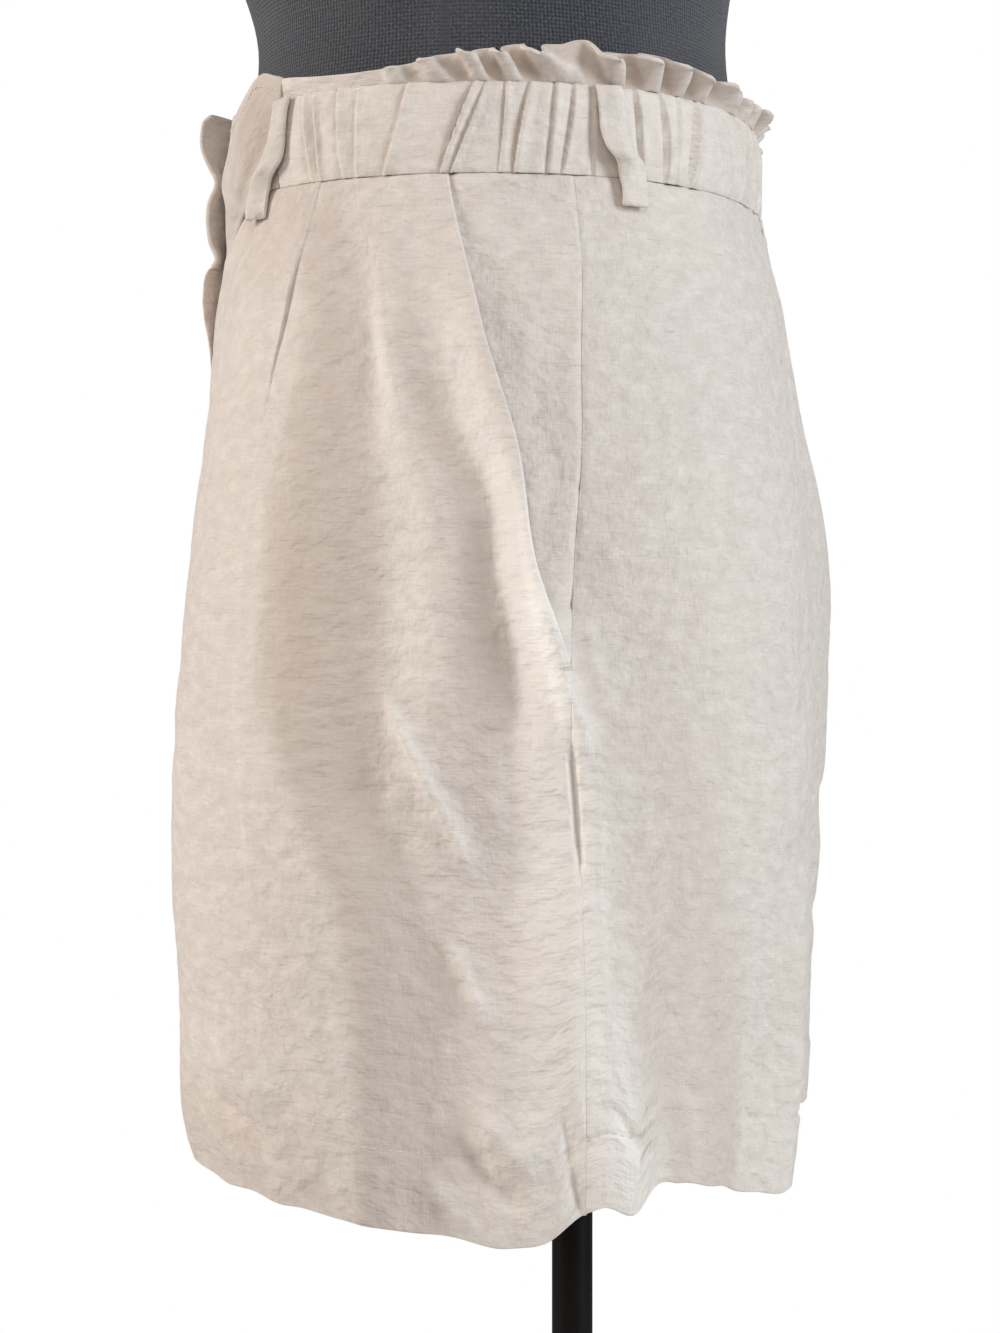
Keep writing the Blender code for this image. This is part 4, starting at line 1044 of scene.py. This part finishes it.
class Wiring:
    """Short ways to add and join nodes in one tree."""

    def __init__(self, tree):
        self.nodes, self.links = tree.nodes, tree.links

    def new(self, kind, constants=None):
        node = self.nodes.new(f"ShaderNode{kind}")
        for label, value in (constants or {}).items():
            node.inputs[label].default_value = value
        return node

    def join(self, value, socket):
        if isinstance(value, (int, float, tuple)):
            socket.default_value = value
        else:
            self.links.new(value, socket)

    def maths(self, operation, a, b=0.0, clamp=False):
        node = self.new("Math")
        node.operation, node.use_clamp = operation, clamp
        self.join(a, node.inputs[0])
        self.join(b, node.inputs[1])
        return node.outputs[0]

    def noise(self, vector, scale, size=(1, 1, 1), detail=2.0, roughness=0.5):
        """Noise at `scale` per metre, its pattern stretched by size."""
        stretch = self.new("Mapping", {"Scale": size})
        self.links.new(vector, stretch.inputs["Vector"])
        node = self.new("TexNoise", {"Scale": scale, "Detail": detail, "Roughness": roughness})
        self.links.new(stretch.outputs[0], node.inputs["Vector"])
        return node.outputs["Fac"]

    def between(self, value, low, high, start=0.0, end=1.0):
        node = self.new("MapRange", {"From Min": low, "From Max": high, "To Min": start, "To Max": end})
        node.interpolation_type = "SMOOTHSTEP"
        self.join(value, node.inputs["Value"])
        return node.outputs["Result"]

    def mix(self, share, a, b):
        """Two colours mixed. Colours that are numbers are (red, green, blue)."""
        node = self.new("Mix")
        node.data_type, node.blend_type = "RGBA", "MIX"
        self.join(share, node.inputs["Factor"])
        for value, socket in ((a, node.inputs[6]), (b, node.inputs[7])):
            self.join((*value, 1.0) if isinstance(value, tuple) else value, socket)
        return node.outputs[2]

    def uv(self):
        node = self.new("UVMap")
        node.uv_map = "cloth"
        return node.outputs["UV"]

    def bump(self, height, strength, distance, shader):
        node = self.new("Bump", {"Strength": strength, "Distance": distance})
        self.links.new(height, node.inputs["Height"])
        self.links.new(node.outputs["Normal"], shader.inputs["Normal"])

    def surface(self, group, constants, shader):
        """Adds a node group that puts out a colour, a roughness and a height."""
        node = self.new("Group")
        node.node_tree = group
        for label, value in constants.items():
            node.inputs[label].default_value = value
        self.links.new(node.outputs["Color"], shader.inputs["Base Color"])
        self.links.new(node.outputs["Roughness"], shader.inputs["Roughness"])
        return node


def new_material(name, constants):
    """(material, its Wiring, its Principled shader with these constants)."""
    made = bpy.data.materials.new(name)
    made.use_nodes = True
    shader = made.node_tree.nodes["Principled BSDF"]
    for label, value in constants.items():
        shader.inputs[label].default_value = value
    return made, Wiring(made.node_tree), shader


def new_group(name, **inputs):
    """(group, its Wiring, what it is given, what it puts out) for an empty group that a surface uses. Its
    inputs are (socket type, default)."""
    group = bpy.data.node_groups.new(name, "ShaderNodeTree")
    for label, (kind, default) in inputs.items():
        socket = group.interface.new_socket(name=label, in_out="INPUT", socket_type=f"NodeSocket{kind}")
        if default is not None:
            socket.default_value = default
    for label, kind in (("Color", "Color"), ("Roughness", "Float"), ("Height", "Float")):
        group.interface.new_socket(name=label, in_out="OUTPUT", socket_type=f"NodeSocket{kind}")
    given, made = group.nodes.new("NodeGroupInput"), group.nodes.new("NodeGroupOutput")
    return group, Wiring(group), given.outputs, made.inputs


def linen_group():
    """Linen: heathered yarn in both directions, crosswise slubs, light and dark flecks, a crinkled surface,
    and painted shade and painted highlights from its shading input. The map is in metres, crosswise along u."""
    group, w, given, made = new_group(
        "linen yarn", Map=("Vector", None), Tone=("Color", (0.7, 0.62, 0.55, 1)), Worn=("Float", 0.0),
        Dull=("Float", 0.0))
    where = given["Map"]
    weft = w.noise(where, 1.0, (130, 1300, 1), 3.0, 0.62)  # crosswise yarn
    warp = w.noise(where, 1.0, (1300, 160, 1), 3.0, 0.6)
    slub = w.noise(where, 1.0, (75, 900, 1), 2.0, 0.55)
    fine = w.noise(where, 900.0)
    cloud = w.noise(where, 26.0, detail=3.0, roughness=0.55)
    patch = w.noise(where, 1.0, (95, 150, 1), 4.0, 0.62)
    warm = w.noise(where, 14.0, (1, 1.4, 1))
    fleck = w.noise(where, 1.0, (330, 560, 1), 2.0, 0.6)
    crinkle = w.noise(where, 1.0, (120, 160, 1), 2.4, 0.5)
    colour = given["Tone"]
    for mask, low, high, start, end, shade in (
        (cloud, 0.3, 0.7, 0.0, 0.14, (0.84, 0.77, 0.68)),
        (warm, 0.38, 0.66, 0.0, 0.30, (0.69, 0.61, 0.57)),
        (patch, 0.56, 0.36, 0.0, 0.22, (0.52, 0.45, 0.39)),
        (patch, 0.52, 0.68, 0.0, 0.28, (0.88, 0.81, 0.74)),
        (weft, 0.36, 0.62, 0.16, 0.0, (0.50, 0.43, 0.37)),
        (warp, 0.36, 0.60, 0.14, 0.0, (0.52, 0.45, 0.39)),
        (slub, 0.65, 0.76, 0.0, 0.40, (0.36, 0.30, 0.26)),
        (slub, 0.34, 0.24, 0.0, 0.30, (0.88, 0.82, 0.75)),
        (fleck, 0.72, 0.80, 0.0, 0.36, (0.25, 0.19, 0.15)),
        (fine, 0.58, 0.80, 0.0, 0.14, (0.88, 0.83, 0.77)),
    ):
        colour = w.mix(w.between(mask, low, high, start, end), colour, shade)
    colour = w.mix(w.maths("MULTIPLY", given["Worn"], 0.22), colour, (0.86, 0.80, 0.74))
    # Painted shade: a warm dark brown where the shading input is above 0; painted highlight: a pale cream
    # where it is below 0.
    for share, shade in ((0.48, (0.48, 0.365, 0.295)), (-0.56, (0.95, 0.90, 0.84))):
        colour = w.mix(w.maths("MULTIPLY", given["Dull"], share, clamp=True), colour, shade)
    w.links.new(colour, made["Color"])
    w.links.new(w.between(weft, 0.3, 0.7, 0.97, 0.84), made["Roughness"])
    high = w.maths("MULTIPLY", crinkle, 0.80)
    for yarn, share in ((weft, 0.09), (warp, 0.09), (slub, 0.06)):
        high = w.maths("ADD", high, w.maths("MULTIPLY", yarn, share))
    w.links.new(high, made["Height"])
    return group


def linen_material(name, group, tone, bump):
    made, w, shader = new_material(name, {"Specular IOR Level": 0.22, "Sheen Weight": 0.12,
                                          "Sheen Roughness": 0.55})
    yarn = w.surface(group, {"Tone": (*tone, 1)}, shader)
    w.links.new(w.uv(), yarn.inputs["Map"])
    # The worn edges' mark, and the mark of painted shade and painted highlight.
    for label in ("worn", "dull"):
        spot = w.new("Attribute")
        spot.attribute_name = label
        w.links.new(spot.outputs["Fac"], yarn.inputs[label.title()])
    w.bump(yarn.outputs["Height"], 1.0, bump, shader)
    return made


def thread_material():
    """Cotton thread: twisted, a shade lighter than the linen."""
    made, w, shader = new_material("sewing thread", {"Sheen Weight": 0.2})
    twist = w.noise(w.new("TexCoord").outputs["Object"], 2600.0, detail=1.0)
    w.links.new(w.mix(w.between(twist, 0.35, 0.65), (0.60, 0.53, 0.46), (0.80, 0.74, 0.67)),
                shader.inputs["Base Color"])
    w.links.new(w.between(twist, 0.3, 0.7, 0.85, 0.6), shader.inputs["Roughness"])
    return made


def knit_material():
    """Charcoal jersey: rows of small loops, a little melange, and a raised rib."""
    made, w, shader = new_material("charcoal jersey", {"Specular IOR Level": 0.25, "Sheen Weight": 0.25,
                                                       "Sheen Roughness": 0.5})
    where, apart = w.uv(), w.new("SeparateXYZ")
    w.links.new(where, apart.inputs[0])
    rib = w.maths("SINE", w.maths("MULTIPLY", apart.outputs["X"], 2 * math.pi / 0.0021))
    row = w.maths("SINE", w.maths("ADD", w.maths("MULTIPLY", apart.outputs["Y"], 2 * math.pi / 0.0016),
                                  w.maths("MULTIPLY", rib, 0.9)))
    loops = w.maths("ADD", w.maths("MULTIPLY", w.maths("ADD", rib, row), 0.25), 0.5, clamp=True)
    melange, cloud = w.noise(where, 700.0), w.noise(where, 22.0, detail=3.0)
    colour = w.mix(w.between(melange, 0.35, 0.68), (0.036, 0.037, 0.044), (0.085, 0.086, 0.097))
    colour = w.mix(w.between(loops, 0.15, 0.75, 0.55, 0.0), colour, (0.018, 0.018, 0.022))
    colour = w.mix(w.between(cloud, 0.35, 0.7, 0.0, 0.25), colour, (0.10, 0.10, 0.11))
    w.links.new(colour, shader.inputs["Base Color"])
    w.links.new(w.between(loops, 0.2, 0.9, 0.95, 0.78), shader.inputs["Roughness"])
    w.bump(loops, 0.8, 0.0006, shader)
    return made


def hard_group():
    """Wear of a painted or plated surface: fine marks, dust and a cloudy gloss, on Object coordinates."""
    group, w, given, made = new_group(
        "surface wear", Tone=("Color", (0.02, 0.02, 0.02, 1)), Dust=("Float", 0.1), Gloss=("Float", 0.35))
    where = w.new("TexCoord").outputs["Object"]
    cloud = w.noise(where, 9.0, detail=5.0, roughness=0.6)
    grain, marks = w.noise(where, 1400.0), w.noise(where, 60.0, (1, 1, 0.12), 4.0, 0.65)
    dust = w.maths("MULTIPLY", w.between(cloud, 0.42, 0.75), given["Dust"])
    colour = w.mix(dust, given["Tone"], (0.32, 0.30, 0.28))
    w.links.new(w.mix(w.between(marks, 0.66, 0.76, 0.0, 0.10), colour, (0.30, 0.29, 0.28)), made["Color"])
    rough = w.maths("ADD", given["Gloss"], w.maths("MULTIPLY", w.maths("SUBTRACT", cloud, 0.5), 0.35))
    w.links.new(w.maths("ADD", rough, dust, clamp=True), made["Roughness"])
    high = w.maths("ADD", w.maths("MULTIPLY", grain, 0.6), w.maths("MULTIPLY", marks, 0.4))
    w.links.new(high, made["Height"])
    return group


def hard_material(name, group, tone, dust, gloss, metallic=0.0, coat=0.0, shine=0.5):
    made, w, shader = new_material(name, {"Metallic": metallic, "Coat Weight": coat, "Coat Roughness": 0.25,
                                          "Specular IOR Level": shine})
    wear = w.surface(group, {"Tone": (*tone, 1), "Dust": dust, "Gloss": gloss}, shader)
    w.bump(wear.outputs["Height"], 0.5, 0.00006, shader)
    return made


# ------------------------ studio

CAMERA_AZIMUTH = math.radians(98)
CAMERA_DISTANCE, CAMERA_HEIGHT, CAMERA_AIM_Y = 1.2, 0.84, -0.0323
LENS, SENSOR, FRAME_SHIFT = 72.9, 36.0, -0.024
LIGHTS_AIM = (0, 0, 0.85)


def add_camera():
    data = bpy.data.cameras.new("camera")
    data.lens, data.sensor_width, data.shift_y, data.clip_start = LENS, SENSOR, FRAME_SHIFT, 0.05
    camera = bpy.data.objects.new("camera", data)
    camera.location = (CAMERA_DISTANCE * math.sin(CAMERA_AZIMUTH),
                       CAMERA_AIM_Y - CAMERA_DISTANCE * math.cos(CAMERA_AZIMUTH), CAMERA_HEIGHT)
    camera.rotation_euler = (math.pi / 2, 0, CAMERA_AZIMUTH)
    bpy.context.scene.collection.objects.link(camera)
    bpy.context.scene.camera = camera


def add_area_light(name, azimuth, elevation, distance, size, power, colour):
    """A rectangular light that looks at the shorts from an azimuth, 0 in front and 90 on the left."""
    data = bpy.data.lights.new(name, "AREA")
    data.shape, data.size, data.size_y = "RECTANGLE", *size
    data.energy, data.color = power, colour
    light = bpy.data.objects.new(name, data)
    a, e = math.radians(azimuth), math.radians(elevation)
    back = (math.sin(a) * math.cos(e), -math.cos(a) * math.cos(e), math.sin(e))
    light.location = [LIGHTS_AIM[k] + distance * back[k] for k in range(3)]
    light.rotation_euler = (math.pi / 2 - e, 0, a)
    bpy.context.scene.collection.objects.link(light)


def add_lights():
    add_area_light("window front", 20, 20, 2.6, (0.8, 1.5), 46, (1.0, 0.965, 0.93))
    add_area_light("window back", 158, 18, 2.6, (1.0, 1.8), 51, (0.82, 0.92, 1.0))
    add_area_light("side", 92, 30, 2.8, (1.4, 1.4), 17, (1.0, 0.98, 0.96))
    add_area_light("fill", 270, 20, 3.0, (2.2, 2.2), 20, (1.0, 0.98, 0.96))
    world = bpy.data.worlds.new("studio")
    world.use_nodes = True
    w = Wiring(world.node_tree)
    soft = w.nodes["Background"]
    soft.inputs["Color"].default_value = (1.0, 0.955, 0.915, 1)
    soft.inputs["Strength"].default_value = 0.26
    seen = w.new("Background", {"Color": (1, 1, 1, 1), "Strength": 1.0})
    mix = w.new("MixShader")
    w.links.new(w.new("LightPath").outputs["Is Camera Ray"], mix.inputs["Fac"])
    w.links.new(soft.outputs[0], mix.inputs[1])
    w.links.new(seen.outputs[0], mix.inputs[2])
    w.links.new(mix.outputs[0], w.nodes["World Output"].inputs["Surface"])
    bpy.context.scene.world = world
    bpy.context.scene.view_settings.view_transform = "Standard"


def add_floor():
    """A pale floor that fades out towards its edge."""
    corners = 2.4 * np.array([[-1, -1, 0], [1, -1, 0], [1, 1, 0], [-1, 1, 0]])
    floor = add_mesh("floor", corners, np.array([[0, 1, 2, 3]]), smooth=False)
    made, w, shader = new_material("pale floor", {"Roughness": 0.7, "Specular IOR Level": 0.2})
    where = w.new("TexCoord").outputs["Object"]
    flat = w.between(w.noise(where, 3.0, detail=3.0), 0.3, 0.7)
    w.links.new(w.mix(flat, (0.86, 0.855, 0.85), (0.88, 0.875, 0.87)), shader.inputs["Base Color"])
    far = w.new("VectorMath")
    far.operation = "LENGTH"
    w.links.new(where, far.inputs[0])
    w.links.new(w.between(far.outputs["Value"], 0.7, 2.05, 1.0, 0.0), shader.inputs["Alpha"])
    floor.data.materials.append(made)


# ------------------------ everything together


def main():
    add_camera()
    add_lights()
    add_floor()
    yarn = linen_group()
    linen = linen_material("oatmeal linen", yarn, (0.74, 0.655, 0.59), 0.0029)
    lined = linen_material("doubled linen", yarn, (0.76, 0.68, 0.61), 0.0020)
    # A darker copy of the oatmeal linen: painted shade on the flat band and the front loops.
    shade_darkened_linen = linen_material("shade-darkened linen", yarn, (0.655, 0.588, 0.535), 0.0022)
    wear = hard_group()
    steel = hard_material("black satin steel", wear, (0.0045, 0.0035, 0.003), 0.01, 0.50, shine=0.12)
    lacquer = hard_material("black lacquer", wear, (0.016, 0.014, 0.013), 0.05, 0.30, coat=0.3)
    plated = hard_material("nickel plate", wear, (0.62, 0.60, 0.57), 0.04, 0.26, metallic=1.0)
    for side in ("left", "right"):
        add_front_panel(side, linen)
        add_back_panel(side, linen)
        add_pocket_facing(side, linen)
        add_hem(side, linen)
        add_loop(side, "front", shade_darkened_linen)
        add_loop(side, "side", lined)
    add_waistband_back(lined)
    add_header_frill(lined)
    add_flat_bands(shade_darkened_linen)
    add_fly_overlap(linen)
    add_stitches(thread_material())
    add_form(knit_material())
    add_turned("round_base", "stand_base", steel, 0.0022)
    add_turned("upright_pole", "stand_pole", steel, 0.0006, 3, around=40)
    add_turned("neck_cap", "form_neck_cap", lacquer, 0.0038)
    for hook in ("hook_upper", "hook_lower"):
        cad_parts[hook].data.materials.clear()
        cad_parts[hook].data.materials.append(plated)


main()
